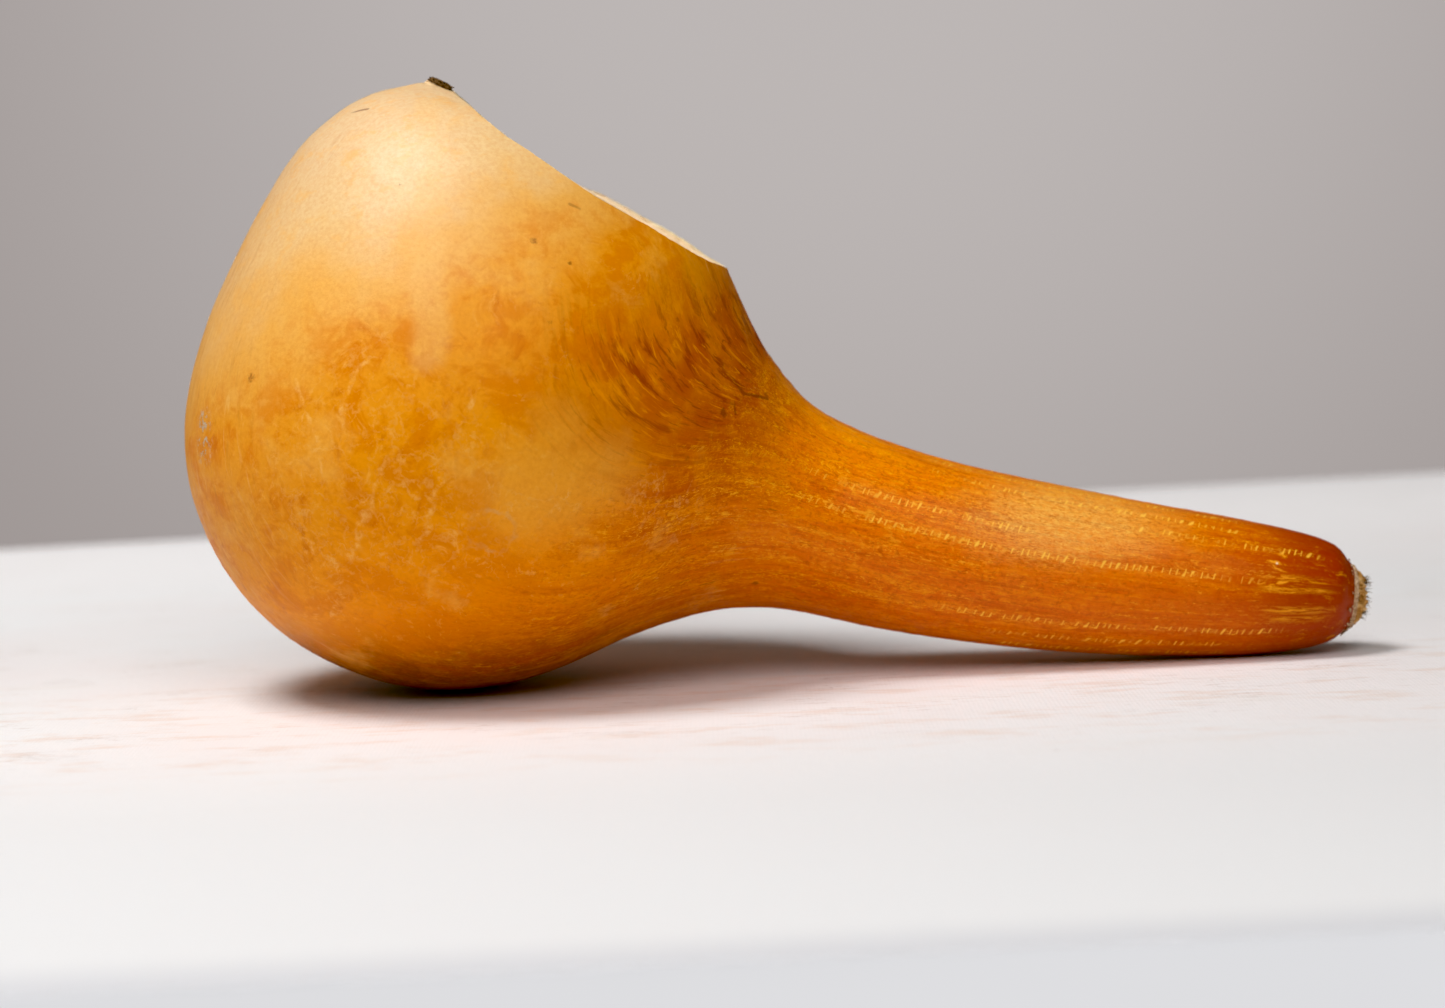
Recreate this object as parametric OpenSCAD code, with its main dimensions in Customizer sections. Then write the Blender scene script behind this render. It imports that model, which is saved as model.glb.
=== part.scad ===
// Gourd dipper: a dried bottle gourd with a round, crooked bowl sliced open on
// top and a long tapering neck for a handle. The bowl rests on the plane z = 0
// at the origin, the neck runs along +X, and the underside of the neck touches
// the same plane near its far end.

/* [Gourd] */
// Length of the gourd from the back of the bowl to the stem; the sizes of the stem and scar below are for a length of 298
gourd_length = 298; // [250:2:340]
// Width of the bowl from side to side, as a share of its height in section
bowl_ratio = 0.955; // [0.88:0.005:1.02]
// Radius of the bowl's round belly and back, seen from the side
bowl_r = 67; // [65:0.5:68]
// How far the blossom end is drawn out beyond that radius
blossom_rise = 22; // [19:0.5:24]
// Width of the neck from side to side, as a share of its height in section
neck_ratio = 0.985; // [0.9:0.005:1.04]

/* [Wall] */
// Thickness of the hard outer rind
rind_t = 1.6; // [1.2:0.1:2.2]
// Thickness of the rind where it closes round the stem
rind_end_t = 4; // [3:0.25:5]
// Thickness of the pale pith lining left inside the bowl
lining_t = 2.4; // [1.4:0.1:3]

/* [Cut] */
// Slope of the slicing cut, falling from the blossom end towards the neck
cut_slope = 35; // [34.5:0.5:37]
// Roll of the cut about its long axis; a positive roll lifts its +Y side
cut_roll = -0.5; // [-3:0.5:3]

/* [Neck pith] */
// Depth of the hollow dish in the face of the pith plug
dish_depth = 9; // [3:0.5:12]

/* [Stem] */
// Radius of the corky collar round the foot of the stem
collar_r = 8.4; // [7.6:0.1:8.6]
// Radius of the woody stem at the collar
stem_r = 7.4; // [6.4:0.1:7.6]
// Radius of the woody stem at its broken end
stem_end_r = 5.7; // [4.8:0.1:6.2]
// Height of the stem above the gourd
stem_h = 4.3; // [3:0.1:6]
// Radius of the stem's root, which is held in the rind
root_r = 4.6; // [3.5:0.1:5.2]
// Number of torn fibres standing on the broken end
fibre_count = 26; // [12:1:36]

/* [Blossom scar] */
// Radius of the dark corky button at the blossom end
scar_r = 3.3; // [2.4:0.1:3.4]
// Height of the button above the rind
scar_h = 0.9; // [0.6:0.1:1.4]

/* [Mesh] */
// Points round each section
around = 44; // [32:4:48]
// Sections between one station and the next
per_station = 3; // [2:1:3]

/* [Hidden] */

size = gourd_length / 298;  // scales the sections, stem and scar
side_gap = 0.05;            // clearance round the root and inside the collar
seat_gap = 0.02;            // clearance under a part that sits on another
cup_floor = 1.3;            // height of the floor of the stem's hollow

// The gourd is a row of slanting sections in side view, from the stem along the
// neck, round the saddle between neck and bowl, to the blossom end. Each
// station is [top x, top z, underside x, underside z] at size 1.
neck = [
    [228,   22.5, 226,    5.5],  // stem ring
    [226,   26,   223.5,  3.5],
    [221,   29.5, 218,    1.5],  // end of the neck rounds over
    [200,   35.5, 196,    0  ],  // neck rests on the table
    [154,   46,   148,    3.5],  // middle of the neck
    [114,   58,   104,   11.5],
    [ 93,   69,    73,   17.5],  // throat, where the bowl opens out
    [ 84.5, 79,    42.5, 11  ]   // saddle
];
// Sections of the whole bowl, before it is cut: [swing, crown x, crown z].
bowl = [
    [-18, 81.8,  83  ],
    [  3, 80,    86.7],
    [ 24, 78.5,  90  ],
    [ 45, 77.1,  93.5],
    [ 67, 75.5,  97.5],
    [ 89, 74,   101.5],
    [112, 71.5, 108  ],
    [135, 67,   116  ],
    [154, 58.5, 127  ],  // crown, which the cut takes off
    [167, 44,   138  ],
    [175, 25,   146  ]
];
scar_station = [5.6, 151.8, -0.8, 155];

// The underside of the bowl swings round its centre: round under the belly and
// up the back, a little flattened where it rests, then drawn out to the
// blossom end from the swing rise_start on, over rise_span degrees.
belly_flat = 1;
bowl_x = 0.5;
bowl_z = bowl_r - belly_flat;
rise_start = 105;
rise_span = 70;
function underside_r(swing) = bowl_r - belly_flat * pow(cos(swing), 2)
    + blossom_rise * pow(smooth((swing - rise_start) / rise_span), 1.8);
function bowl_station(entry) =
    let (swing = entry[0], radius = underside_r(swing))
    [entry[1], entry[2], bowl_x - radius * sin(swing), bowl_z - radius * cos(swing)];

stations = concat(neck, [for (entry = bowl) bowl_station(entry)], [scar_station]);
last = len(stations) - 1;
throat = len(neck) - 2;  // station where the lining meets the plug

// Lengths and places below are counted in stations from the stem.
rind_taper = 2.5;        // the rind thins down over this length
ratio_start = 5;         // the width starts to change from neck to bowl here
ratio_span = 5;
scar_span = 3;           // the sections turn circular over this last length

// Easing from 0 to 1, level at both ends.
function smooth(x) = let (c = min(max(x, 0), 1)) c * c * (3 - 2 * c);
function blend(from, to, share) = from + (to - from) * share;
function unit(v) = v / norm(v);

// Smooth curve through the stations: a cubic B-spline whose control rows are
// pulled outwards until it meets the stations, with straight ends.
function row(rows, i) = i < 0 ? 2 * rows[0] - rows[1]
    : i > last ? 2 * rows[last] - rows[last - 1]
    : rows[i];
function pulled(rows, times) = times == 0 ? rows
    : let (prior = pulled(rows, times - 1))
      [for (i = [0 : last])
          stations[i] - (row(prior, i - 1) - 2 * prior[i] + row(prior, i + 1)) / 6];
controls = pulled(stations, 4);
function spline(station) =
    let (i = min(floor(station), last - 1), f = station - i)
    (row(controls, i - 1) * pow(1 - f, 3)
    + row(controls, i) * (3 * pow(f, 3) - 6 * f * f + 4)
    + row(controls, i + 1) * (-3 * pow(f, 3) + 3 * f * f + 3 * f + 1)
    + row(controls, i + 2) * pow(f, 3)) / 6;

function width_ratio(station) =
    blend(neck_ratio, bowl_ratio, smooth((station - ratio_start) / ratio_span))
    + (1 - bowl_ratio) * smooth((station - last + scar_span) / scar_span);

// A section is an ellipse: [middle, vector to its top, vector to its +Y side].
function section(station) =
    let (ends = spline(station) * size,
         top = [ends[0], 0, ends[1]],
         under = [ends[2], 0, ends[3]],
         rise = (top - under) / 2)
    [(top + under) / 2, rise, [0, norm(rise) * width_ratio(station), 0]];

// Point of the skin, at an angle from the top of its section.
function skin(station, angle) =
    let (s = section(station))
    s[0] + cos(angle) * s[1] + sin(angle) * s[2];

// Outward normal of the skin, and a point at a depth below it.
function outward(station, angle) =
    let (s = section(station),
         step = 0.05,
         lengthwise = skin(min(station + step, last), angle)
             - skin(max(station - step, 0), angle),
         crosswise = cos(angle) * s[2] - sin(angle) * s[1])
    unit(cross(crosswise, lengthwise));
function below(station, angle, depth) =
    skin(station, angle) - depth * outward(station, angle);

function rind_depth(station) = blend(rind_end_t, rind_t, smooth(station / rind_taper));

// Rings of points on the skin, between rind and pith, and inside the lining.
last_ring = last * per_station;
throat_ring = throat * per_station;
function ring(i, depth) =
    [for (j = [0 : around - 1]) below(i / per_station, 360 * j / around, depth)];
outer_rings = [for (i = [0 : last_ring]) ring(i, 0)];
middle_rings = [for (i = [0 : last_ring]) ring(i, rind_depth(i / per_station))];
inner_rings = [for (i = [throat_ring : last_ring]) ring(i, rind_t + lining_t)];

function slice(list, first, end) = [for (i = [first : end]) list[i]];
function reversed(list) = [for (i = [len(list) - 1 : -1 : 0]) list[i]];
function flat(lists) = [for (list = lists) for (item = list) item];

// Ring shrunk to a share of its size about its middle, then shifted.
function shrunk(points, share, shift) =
    let (middle = [for (p = points) 1] * points / len(points))
    [for (p = points) middle + share * (p - middle) + shift];

// Triangles joining ring a to ring b.
function joined(a, b) = flat([for (j = [0 : around - 1])
    let (k = (j + 1) % around)
    [[a * around + j, b * around + k, a * around + k],
     [a * around + j, b * around + j, b * around + k]]]);

// A closed solid from a stack of rings, each joined to the next, with a flat
// face on the first and the last.
module stack(rings) {
    count = len(rings);
    sides = flat([for (i = [0 : count - 2]) joined(i, i + 1)]);
    first_face = [for (j = [0 : around - 1]) j];
    last_face = [for (j = [around - 1 : -1 : 0]) (count - 1) * around + j];
    polyhedron(flat(rings), concat(sides, [first_face, last_face]), convexity = 8);
}

// Places its children at the middle of a station's section, at the gourd's
// scale, with Z turned by an angle from the section's top.
module at_station(station, turn) {
    place = section(station);
    lean = atan2(place[1][0], place[1][2]);
    translate(place[0]) rotate([0, lean + turn, 0]) scale(size) children();
}
// At the foot of the stem, and in the seat of the scar, both looking outwards.
module at_stem() {
    at_station(0, 90) children();
}
module at_scar() {
    at_station(last, -90) children();
}

// Everything the cut takes off: a block that is not scaled with the gourd.
heel = [73, 0, 104.5];    // where the cut leaves the saddle, at size 1
cut_box = [125, 160, 60];
cut_past_heel = 15;       // reach of the block beyond the heel
module cut_off() {
    translate(heel * size) rotate([0, cut_slope, 0]) rotate([cut_roll, 0, 0])
        translate([cut_past_heel - cut_box[0], -cut_box[1] / 2, 0]) cube(cut_box);
}

// Hole for the root of the stem, from a depth below the foot of the stem.
module root_hole(depth) {
    at_stem() translate([0, 0, -depth])
        cylinder(r = root_r + side_gap, h = rind_end_t + 4, $fn = 64);
}

// Hard outer rind: bowl and neck in one piece, sliced open, with a socket for
// the root of the stem and an opening that seats the blossom scar.
module rind() {
    color("darkorange") difference() {
        stack(concat(outer_rings, reversed(middle_rings)));
        cut_off();
        root_hole(rind_end_t + 2);
    }
}

// Pale spongy pith left on the inside of the bowl, as far as the throat.
module pith_lining() {
    color("wheat") difference() {
        stack(concat(reversed(inner_rings), slice(middle_rings, throat_ring, last_ring)));
        cut_off();
    }
}

// Dry pith that fills the neck, dished where it faces the bowl.
module neck_pith() {
    mouth = inner_rings[0];
    into_neck = unit(section(throat - 1)[0] - section(throat)[0]) * dish_depth;
    dish = [for (angle = [20 : 20 : 80]) shrunk(mouth, cos(angle), into_neck * sin(angle))];
    color("burlywood") difference() {
        stack(concat(slice(middle_rings, 0, throat_ring), [mouth], dish));
        root_hole(rind_end_t + 2.05);
    }
}

// The turned profiles below are lists of [radius, height].

// Corky ring where the stem leaves the gourd.
module stem_collar() {
    bore_r = stem_r + side_gap;
    color("tan") at_stem() rotate_extrude($fn = 64)
        polygon([[bore_r, seat_gap], [collar_r, seat_gap], [collar_r - 0.1, 0.7],
                 [collar_r - 0.45, 1.25], [bore_r, 1.4]]);
}

// Woody stem, broken off short and hollow. Its root passes through the rind.
module stem_stub() {
    root_end = -rind_end_t - 1.9;
    bevel = 0.4;
    color("peru") at_stem() rotate_extrude($fn = 64)
        polygon([[0, root_end], [root_r - bevel, root_end], [root_r, root_end + bevel],
                 [root_r, seat_gap], [stem_r, seat_gap],
                 [stem_r, 1.2], [stem_r - 0.5, stem_h * 0.55],
                 [stem_end_r, stem_h - bevel], [stem_end_r - bevel, stem_h],
                 [3.4, stem_h - 0.5], [3.1, cup_floor], [0, cup_floor]]);
}

// Dark crumbly pith in the hollow of the stem.
module stem_core() {
    base = cup_floor + seat_gap;
    color("saddlebrown") at_stem() rotate_extrude($fn = 48)
        polygon([[0, base], [3.0, base], [3.05, 2.3], [2.2, 2.9], [1.1, 2.7], [0, 3.1]]);
}

// Torn ends of the stem's fibres, standing on its broken rim. Each fibre's
// place, lean and size vary with its number.
module stem_fibres() {
    turn_step = 137.5;
    lift = 0.08;  // along the fibre
    color("darkkhaki") at_stem() for (i = [0 : fibre_count - 1]) {
        from_axis = 4.0 + 1.1 * abs(sin(i * 71));
        tall = 0.7 + 1.2 * abs(sin(i * 47));
        lean = 12 + 14 * sin(i * 53);
        fibre_r = 0.16 + 0.08 * abs(sin(i * 29));
        rotate([0, 0, i * turn_step]) translate([from_axis, 0, stem_h + seat_gap])
            rotate([0, lean, 0]) translate([0, 0, lift])
            cylinder(r = fibre_r, h = tall, $fn = 16);
    }
}

// Dark corky button left by the flower.
module blossom_scar() {
    base = 0.15 - rind_t;
    color("saddlebrown") at_scar() rotate_extrude($fn = 48)
        polygon([[0, base], [scar_r, base], [scar_r, 0.1], [scar_r - 0.4, scar_h * 0.6],
                 [scar_r - 1.3, scar_h - 0.1], [1.2, scar_h - 0.2], [0.5, scar_h], [0, scar_h]]);
}

rind();
pith_lining();
neck_pith();
stem_collar();
stem_stub();
stem_core();
stem_fibres();
blossom_scar();
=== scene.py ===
"""A dried bottle gourd, cut open as a dipper and lying on a table.

The neck runs towards +X and ends in a woody stem stub; the bowl rests on z = 0 near x = 0.
Its opening faces up and towards +X, the blossom scar is at the top, and the camera looks
along +Y. Shapes are worked out in millimetres and turned into metres when a mesh is made.
"""
import math
import bpy, bmesh
import numpy as np
from mathutils import Vector, Matrix


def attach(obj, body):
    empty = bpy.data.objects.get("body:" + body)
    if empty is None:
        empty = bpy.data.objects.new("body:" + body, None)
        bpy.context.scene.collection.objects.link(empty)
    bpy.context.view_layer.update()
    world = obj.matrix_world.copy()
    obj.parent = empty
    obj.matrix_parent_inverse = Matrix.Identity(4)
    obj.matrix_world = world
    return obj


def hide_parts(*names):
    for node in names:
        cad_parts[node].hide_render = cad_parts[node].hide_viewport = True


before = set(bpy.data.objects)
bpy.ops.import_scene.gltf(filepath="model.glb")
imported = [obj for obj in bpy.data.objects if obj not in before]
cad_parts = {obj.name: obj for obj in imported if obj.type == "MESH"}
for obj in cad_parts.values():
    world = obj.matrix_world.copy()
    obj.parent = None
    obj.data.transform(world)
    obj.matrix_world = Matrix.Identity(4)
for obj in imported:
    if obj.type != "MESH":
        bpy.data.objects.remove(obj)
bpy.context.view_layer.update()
MM = 0.001

# ------------------------------------------------------------ the gourd's form (mm)
# Stations run from the stem (0) along the neck and round the bowl to the blossom scar.
# Columns: x, z of the upper edge, x, z of the under edge.
NECK = [[228, 22.5, 226, 5.5], [226, 26, 223.5, 3.5], [221, 29.5, 218, 1.5], [200, 35.5, 196, 0],
        [154, 46, 148, 3.5], [114, 58, 104, 11.5], [93, 69, 73, 17.5], [84.5, 79, 42.5, 11]]
# Columns: angle of the under edge round the bowl's centre (degrees), x, z of the upper edge.
BOWL = [[-18, 81.8, 83], [3, 80, 86.7], [24, 78.5, 90], [45, 77.1, 93.5], [67, 75.5, 97.5],
        [89, 74, 101.5], [112, 71.5, 108], [135, 67, 116], [154, 58.5, 127], [167, 44, 138],
        [175, 25, 146]]
SCAR = [5.6, 151.8, -0.8, 155]
BOWL_RADIUS = 67.0
FLATTENING = 1              # taken off the radius under the bowl
BOWL_CENTRE = (0.5, BOWL_RADIUS - FLATTENING)
RISE = 22.0                 # added to the radius towards the blossom end
BOWL_RATIO, NECK_RATIO = 0.955, 0.985    # width over height of a section
RIND, RIND_END, LINING = 1.6, 4.0, 2.4   # thicknesses; RIND_END is the rind at the stem
THROAT = 6                  # the station where the neck's pith ends and the lining starts
ROOT_RADIUS = 4.6           # the stub's root in the neck

# The cut's plane: its heel lies over the neck, its slope rises towards the blossom end.
HEEL = np.array([73, 0, 104.5])
CUT_SLOPE, CUT_ROLL = math.radians(35), math.radians(-0.5)
CUT_NORMAL = np.array([math.sin(CUT_SLOPE) * math.cos(CUT_ROLL), -math.sin(CUT_ROLL),
                       math.cos(CUT_SLOPE) * math.cos(CUT_ROLL)])
CUT_ALONG = np.array([math.cos(CUT_SLOPE), 0, -math.sin(CUT_SLOPE)])
CUT_ALONG = CUT_ALONG - (CUT_ALONG @ CUT_NORMAL) * CUT_NORMAL
CUT_ALONG /= np.linalg.norm(CUT_ALONG)
CUT_ACROSS = np.cross(CUT_NORMAL, CUT_ALONG)

# How far the cut edge strays from its plane on the -Y and +Y sides.
# Columns: place along the cut (0 at the heel, -84 at the blossom end), distance off the plane.
NEAR_EDGE = [(-88, 0.3), (-84, 0.1), (-80, -0.4), (-75, -1.0), (-70, -1.6), (-64, -2.2),
             (-55, -2.4), (-46, -2.7), (-42, -2.85), (-36, -2.85), (-28, -2.4), (-16, -1.9),
             (-8, -1.7), (-2, -0.9), (4, -0.2)]
FAR_EDGE = [(-88, 0.3), (-84, 0.0), (-78, -1.6), (-72, -2.7), (-66, -3.4), (-56, -3.65),
            (-48, -4.0), (-43, -3.7), (-39, -2.7), (-35, -2.3), (-30, -1.92), (-26, -1.75),
            (-20, -1.22), (-12, -0.9), (-5, -1.15), (-1, -0.65), (4, -0.2)]


def smooth(x):
    clipped = np.clip(x, 0.0, 1.0)
    return clipped * clipped * (3 - 2 * clipped)


def stack(*parts):
    """Coordinates, some of them plain numbers, as an array of points."""
    return np.stack(np.broadcast_arrays(*parts), -1)


def bowl_station(degrees, top_x, top_z):
    angle = math.radians(degrees)
    rise = RISE * float(smooth((degrees - 105) / 70)) ** 1.8
    radius = BOWL_RADIUS - FLATTENING * math.cos(angle) ** 2 + rise
    return [top_x, top_z, BOWL_CENTRE[0] - radius * math.sin(angle),
            BOWL_CENTRE[1] - radius * math.cos(angle)]


def padded(points):
    return np.vstack([2 * points[0] - points[1], points, 2 * points[-1] - points[-2]])


STATIONS = np.array(NECK + [bowl_station(*row) for row in BOWL] + [SCAR], float)
LAST = len(STATIONS) - 1
# Control points of a B-spline that passes close to the stations.
controls = STATIONS.copy()
for _ in range(4):
    ends = padded(controls)
    controls = STATIONS - (ends[:-2] - 2 * ends[1:-1] + ends[2:]) / 6
CONTROLS = padded(controls)


def spline(station):
    station = np.asarray(station, float)
    i = np.minimum(np.floor(station).astype(int), LAST - 1)
    f = (station - i)[..., None]
    before, start, end = CONTROLS[i], CONTROLS[i + 1], CONTROLS[i + 2]
    after = CONTROLS[np.minimum(i + 3, LAST + 2)]
    return (before * (1 - f) ** 3 + start * (3 * f ** 3 - 6 * f * f + 4)
            + end * (-3 * f ** 3 + 3 * f * f + 3 * f + 1) + after * f ** 3) / 6


def section(station):
    """Centre (x, z), half height, up direction (x, z) and half width of a cross-section."""
    edges = spline(station)
    top, under = edges[..., :2], edges[..., 2:]
    half = np.linalg.norm(top - under, axis=-1) / 2
    up = (top - under) / (2 * half[..., None])
    ratio = (NECK_RATIO + (BOWL_RATIO - NECK_RATIO) * smooth((station - 5) / 5)
             + (1 - BOWL_RATIO) * smooth((station - 16) / 3))
    return (top + under) / 2, half, up, half * ratio


def surface(station, angle):
    """A point of the even skin; the angle is 0 on the upper edge and grows towards +Y."""
    station, angle = np.broadcast_arrays(np.asarray(station, float), np.asarray(angle, float))
    centre, half, up, width = section(station)
    x = centre[..., 0] + half * np.cos(angle) * up[..., 0]
    z = centre[..., 1] + half * np.cos(angle) * up[..., 1]
    return stack(x, width * np.sin(angle), z)


def outward(station, angle):
    """The unit normal of the even skin."""
    step = 0.05
    station, angle = np.broadcast_arrays(np.asarray(station, float), np.asarray(angle, float))
    _, half, up, width = section(station)
    along = (surface(np.minimum(station + step, LAST), angle)
             - surface(np.maximum(station - step, 0), angle))
    turn = stack(-half * np.sin(angle) * up[..., 0], width * np.cos(angle),
                 -half * np.sin(angle) * up[..., 1])
    normal = np.cross(turn, along)
    return normal / np.linalg.norm(normal, axis=-1, keepdims=True)


class End:
    """The frame of one end of the gourd; heights run outward along its axis."""

    def __init__(self, station, sign):
        centre, _, up, _ = section(station)
        self.origin = np.array([centre[0], 0, centre[1]])
        self.up = np.array([up[0], 0, up[1]])
        self.axis = sign * np.array([up[1], 0, -up[0]])
        self.side = np.array([0.0, sign, 0.0])

    def __call__(self, radius, height, angle):
        radius, height, angle = np.broadcast_arrays(
            *(np.asarray(part, float) for part in (radius, height, angle)))
        return (self.origin + height[..., None] * self.axis
                + (radius * np.cos(angle))[..., None] * self.up
                + (radius * np.sin(angle))[..., None] * self.side)

    def height_of(self, ring):
        return float(np.dot(ring.mean(0) - self.origin, self.axis))


STEM = End(0.0, 1)
BLOSSOM = End(float(LAST), -1)


# ------------------------------------------------------------ relief
class Perlin:
    """Seeded gradient noise."""

    def __init__(self, seed):
        rng = np.random.default_rng(seed)
        self.order = np.concatenate([rng.permutation(256)] * 3)
        gradients = rng.normal(size=(256, 3))
        self.gradients = gradients / np.linalg.norm(gradients, axis=1, keepdims=True)

    def __call__(self, points):
        cell = np.floor(points).astype(int)
        inside = points - cell
        ease = inside * inside * inside * (inside * (inside * 6 - 15) + 10)
        total = 0
        for corner in np.ndindex(2, 2, 2):
            x, y, z = np.moveaxis((cell + corner) & 255, -1, 0)
            gradient = self.gradients[self.order[self.order[self.order[x] + y] + z]]
            weight = np.where(corner, ease, 1 - ease)
            total = total + (weight[..., 0] * weight[..., 1] * weight[..., 2]
                             * (gradient * (inside - corner)).sum(-1))
        return total * 1.6


BROAD, MEDIUM, FINE, STREAKS = Perlin(11), Perlin(23), Perlin(37), Perlin(51)

# Length along the gourd's centre line, for each station.
ARC_STATIONS = np.linspace(0, LAST, 1901)
ARC = np.concatenate([[0], np.cumsum(np.linalg.norm(
    np.diff(section(ARC_STATIONS)[0], axis=0), axis=1))])


def straightened(station, angle):
    """Place on the gourd as if its axis were straight: along it, up and sideways (mm)."""
    _, half, _, width = section(station)
    return stack(np.interp(station, ARC_STATIONS, ARC), half * np.cos(angle),
                 width * np.sin(angle))


def relief(points, straight, station):
    """How far the dried skin stands off the even form (mm, never above 0)."""
    neck = 1 - smooth((station - 5.0) / 3.0)
    along, up, side = np.moveaxis(straight, -1, 0)
    lumps = 0.45 * BROAD(points / 46) + 0.22 * MEDIUM(points / 19) + 0.07 * FINE(points / 7.5)
    ribs = STREAKS(stack(along / 42, up / 4.2, side / 4.2))
    height = lumps * (1 - 0.45 * neck) + 0.17 * ribs * (0.25 + 0.75 * neck)
    throat = np.exp(-((station - 6.6) / 1.3) ** 2)
    height += throat * 0.22 * MEDIUM(stack(along / 9, up / 5.5, side / 5.5) + 5)
    return np.clip(height - 0.42, -1.4, 0.0)


def hermite(x, knots):
    """A smooth curve through given knots."""
    xs, ys = np.array(knots, float).T
    slope = np.gradient(ys, xs)
    x = np.clip(x, xs[0], xs[-1])
    i = np.clip(np.searchsorted(xs, x) - 1, 0, len(xs) - 2)
    width = xs[i + 1] - xs[i]
    f = (x - xs[i]) / width
    return ((2 * f ** 3 - 3 * f * f + 1) * ys[i] + (f ** 3 - 2 * f * f + f) * width * slope[i]
            + (-2 * f ** 3 + 3 * f * f) * ys[i + 1] + (f ** 3 - f * f) * width * slope[i + 1])


def cut_frame(points):
    """Place along and across the cut, and height over its plane."""
    offset = points - HEEL
    return offset @ CUT_ALONG, offset @ CUT_ACROSS, offset @ CUT_NORMAL


def cut_wave(along, across):
    """How far a hand's cut strays from the plane (mm along its normal)."""
    near, far = hermite(along, NEAR_EDGE), hermite(along, FAR_EDGE)
    side = smooth((across + 22) / 44)
    ring = np.sqrt(((along + 42) / 42) ** 2 + (across / 38) ** 2)
    bevel = (0.3 + 2.2 * smooth((across - 2) / 16)) * np.clip((ring - 0.985) / 0.11, -1.35, 0.1)
    wobble = (0.13 * BROAD(stack(along / 11, across / 11, 3.3))
              + 0.09 * MEDIUM(stack(along / 4.2, across / 4.2, 9.1)))
    return near + (far - near) * side + bevel + wobble


# ------------------------------------------------------------ mesh helpers
def angles(count):
    return np.arange(count) * 2 * math.pi / count


def grid_faces(rows, around, start=0, flip=False, closed=False):
    """Quads of a grid that wraps round; a closed one also joins its last row to its first."""
    i, j = np.meshgrid(np.arange(rows if closed else rows - 1), np.arange(around), indexing="ij")
    right, below = (j + 1) % around, (i + 1) % rows
    faces = np.stack([i * around + j, i * around + right, below * around + right,
                      below * around + j], -1).reshape(-1, 4) + start
    return (faces[:, ::-1] if flip else faces).tolist()


def fan(start, around, tip, flip=False):
    """Triangles from a ring to a tip."""
    pairs = [(start + k, start + (k + 1) % around) for k in range(around)]
    return [[b, a, tip] if flip else [a, b, tip] for a, b in pairs]


def new_object(name, points, faces, *materials):
    mesh = bpy.data.meshes.new(name)
    mesh.from_pydata((points * MM).tolist(), [], faces)
    mesh.validate()
    piece = bpy.data.objects.new(name, mesh)
    bpy.context.scene.collection.objects.link(piece)
    mesh.polygons.foreach_set("use_smooth", [True] * len(mesh.polygons))
    for material in materials:
        mesh.materials.append(material)
    return piece


def face_outward(mesh):
    bm = bmesh.new()
    bm.from_mesh(mesh)
    bmesh.ops.recalc_face_normals(bm, faces=bm.faces)
    bm.to_mesh(mesh)
    bm.free()


def set_attribute(mesh, name, kind, field, values):
    attribute = mesh.attributes.new(name, kind, "POINT")
    attribute.data.foreach_set(field, np.asarray(values, np.float32).ravel())


def slice_open(piece, rim_cuts, rough, seed):
    """Opens a closed shell along the wavy cut; the cut face gets material slot 1."""
    bm = bmesh.new()
    bm.from_mesh(piece.data)
    strayed = bm.verts.layers.float.new("strayed")
    points = np.array([v.co for v in bm.verts], float) / MM
    along, across, height = cut_frame(points)
    wave = cut_wave(along, across) * smooth(1 - np.maximum(np.abs(height) - 4, 0) / 11)
    # The shell is bent so that a flat cut does for the wavy one, and bent back at the end.
    for vert, point, shift in zip(bm.verts, points - wave[:, None] * CUT_NORMAL, wave):
        vert.co = point * MM
        vert[strayed] = shift
    near = {v for v in bm.verts if v.co.x < 0.088}
    edges = [e for e in bm.edges if e.verts[0] in near and e.verts[1] in near]
    faces = [f for f in bm.faces if all(v in near for v in f.verts)]
    bmesh.ops.bisect_plane(bm, geom=list(near) + edges + faces, dist=2e-6,
                           plane_co=HEEL * MM, plane_no=CUT_NORMAL,
                           clear_outer=True, clear_inner=False)
    rim = [e for e in bm.edges if e.is_boundary]
    bmesh.ops.remove_doubles(bm, verts=list({v for e in rim for v in e.verts}), dist=0.18 * MM)
    rim = [e for e in bm.edges if e.is_boundary]
    for edge in rim:
        edge.smooth = False
    old_faces = set(bm.faces)
    bmesh.ops.bridge_loops(bm, edges=rim)
    bridge = [f for f in bm.faces if f not in old_faces]
    rim_set = set(rim)
    cross = list({e for f in bridge for e in f.edges if e not in rim_set})
    old_verts = set(bm.verts)
    bmesh.ops.subdivide_edges(bm, edges=cross, cuts=rim_cuts, use_grid_fill=True)
    # Grain on the cut face.
    inner_verts = [v for v in bm.verts if v not in old_verts]
    noise = Perlin(seed)
    along, across, _ = cut_frame(np.array([v.co for v in inner_verts], float) / MM)
    lift = (rough * noise(stack(along / 2.2, across / 2.2, 0.0))
            + rough * 0.7 * noise(stack(along / 0.9, across / 0.9, 7)) - rough * 0.5)
    for vert, amount in zip(inner_verts, lift):
        vert[strayed] += float(amount)
    for face in bm.faces:
        if face not in old_faces:
            face.material_index = 1
            face.smooth = True
    for vert in bm.verts:
        vert.co = vert.co + Vector(CUT_NORMAL) * (vert[strayed] * MM)
    bm.verts.layers.float.remove(strayed)
    bmesh.ops.recalc_face_normals(bm, faces=bm.faces)
    bm.normal_update()
    bm.to_mesh(piece.data)
    bm.free()
    piece.data.update()


def station_rows(start, end, step):
    """Stations spaced evenly by the longest line along the skin."""
    fine = np.linspace(start, end, 1500)
    lines = [surface(fine, angle) for angle in (0.0, math.pi / 2, math.pi)]
    steps = np.max([np.linalg.norm(np.diff(line, axis=0), axis=1) for line in lines], axis=0)
    arc = np.concatenate([[0], np.cumsum(steps)])
    count = max(8, int(round(arc[-1] / step)))
    return np.interp(np.linspace(0, arc[-1], count + 1), arc, fine)


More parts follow.
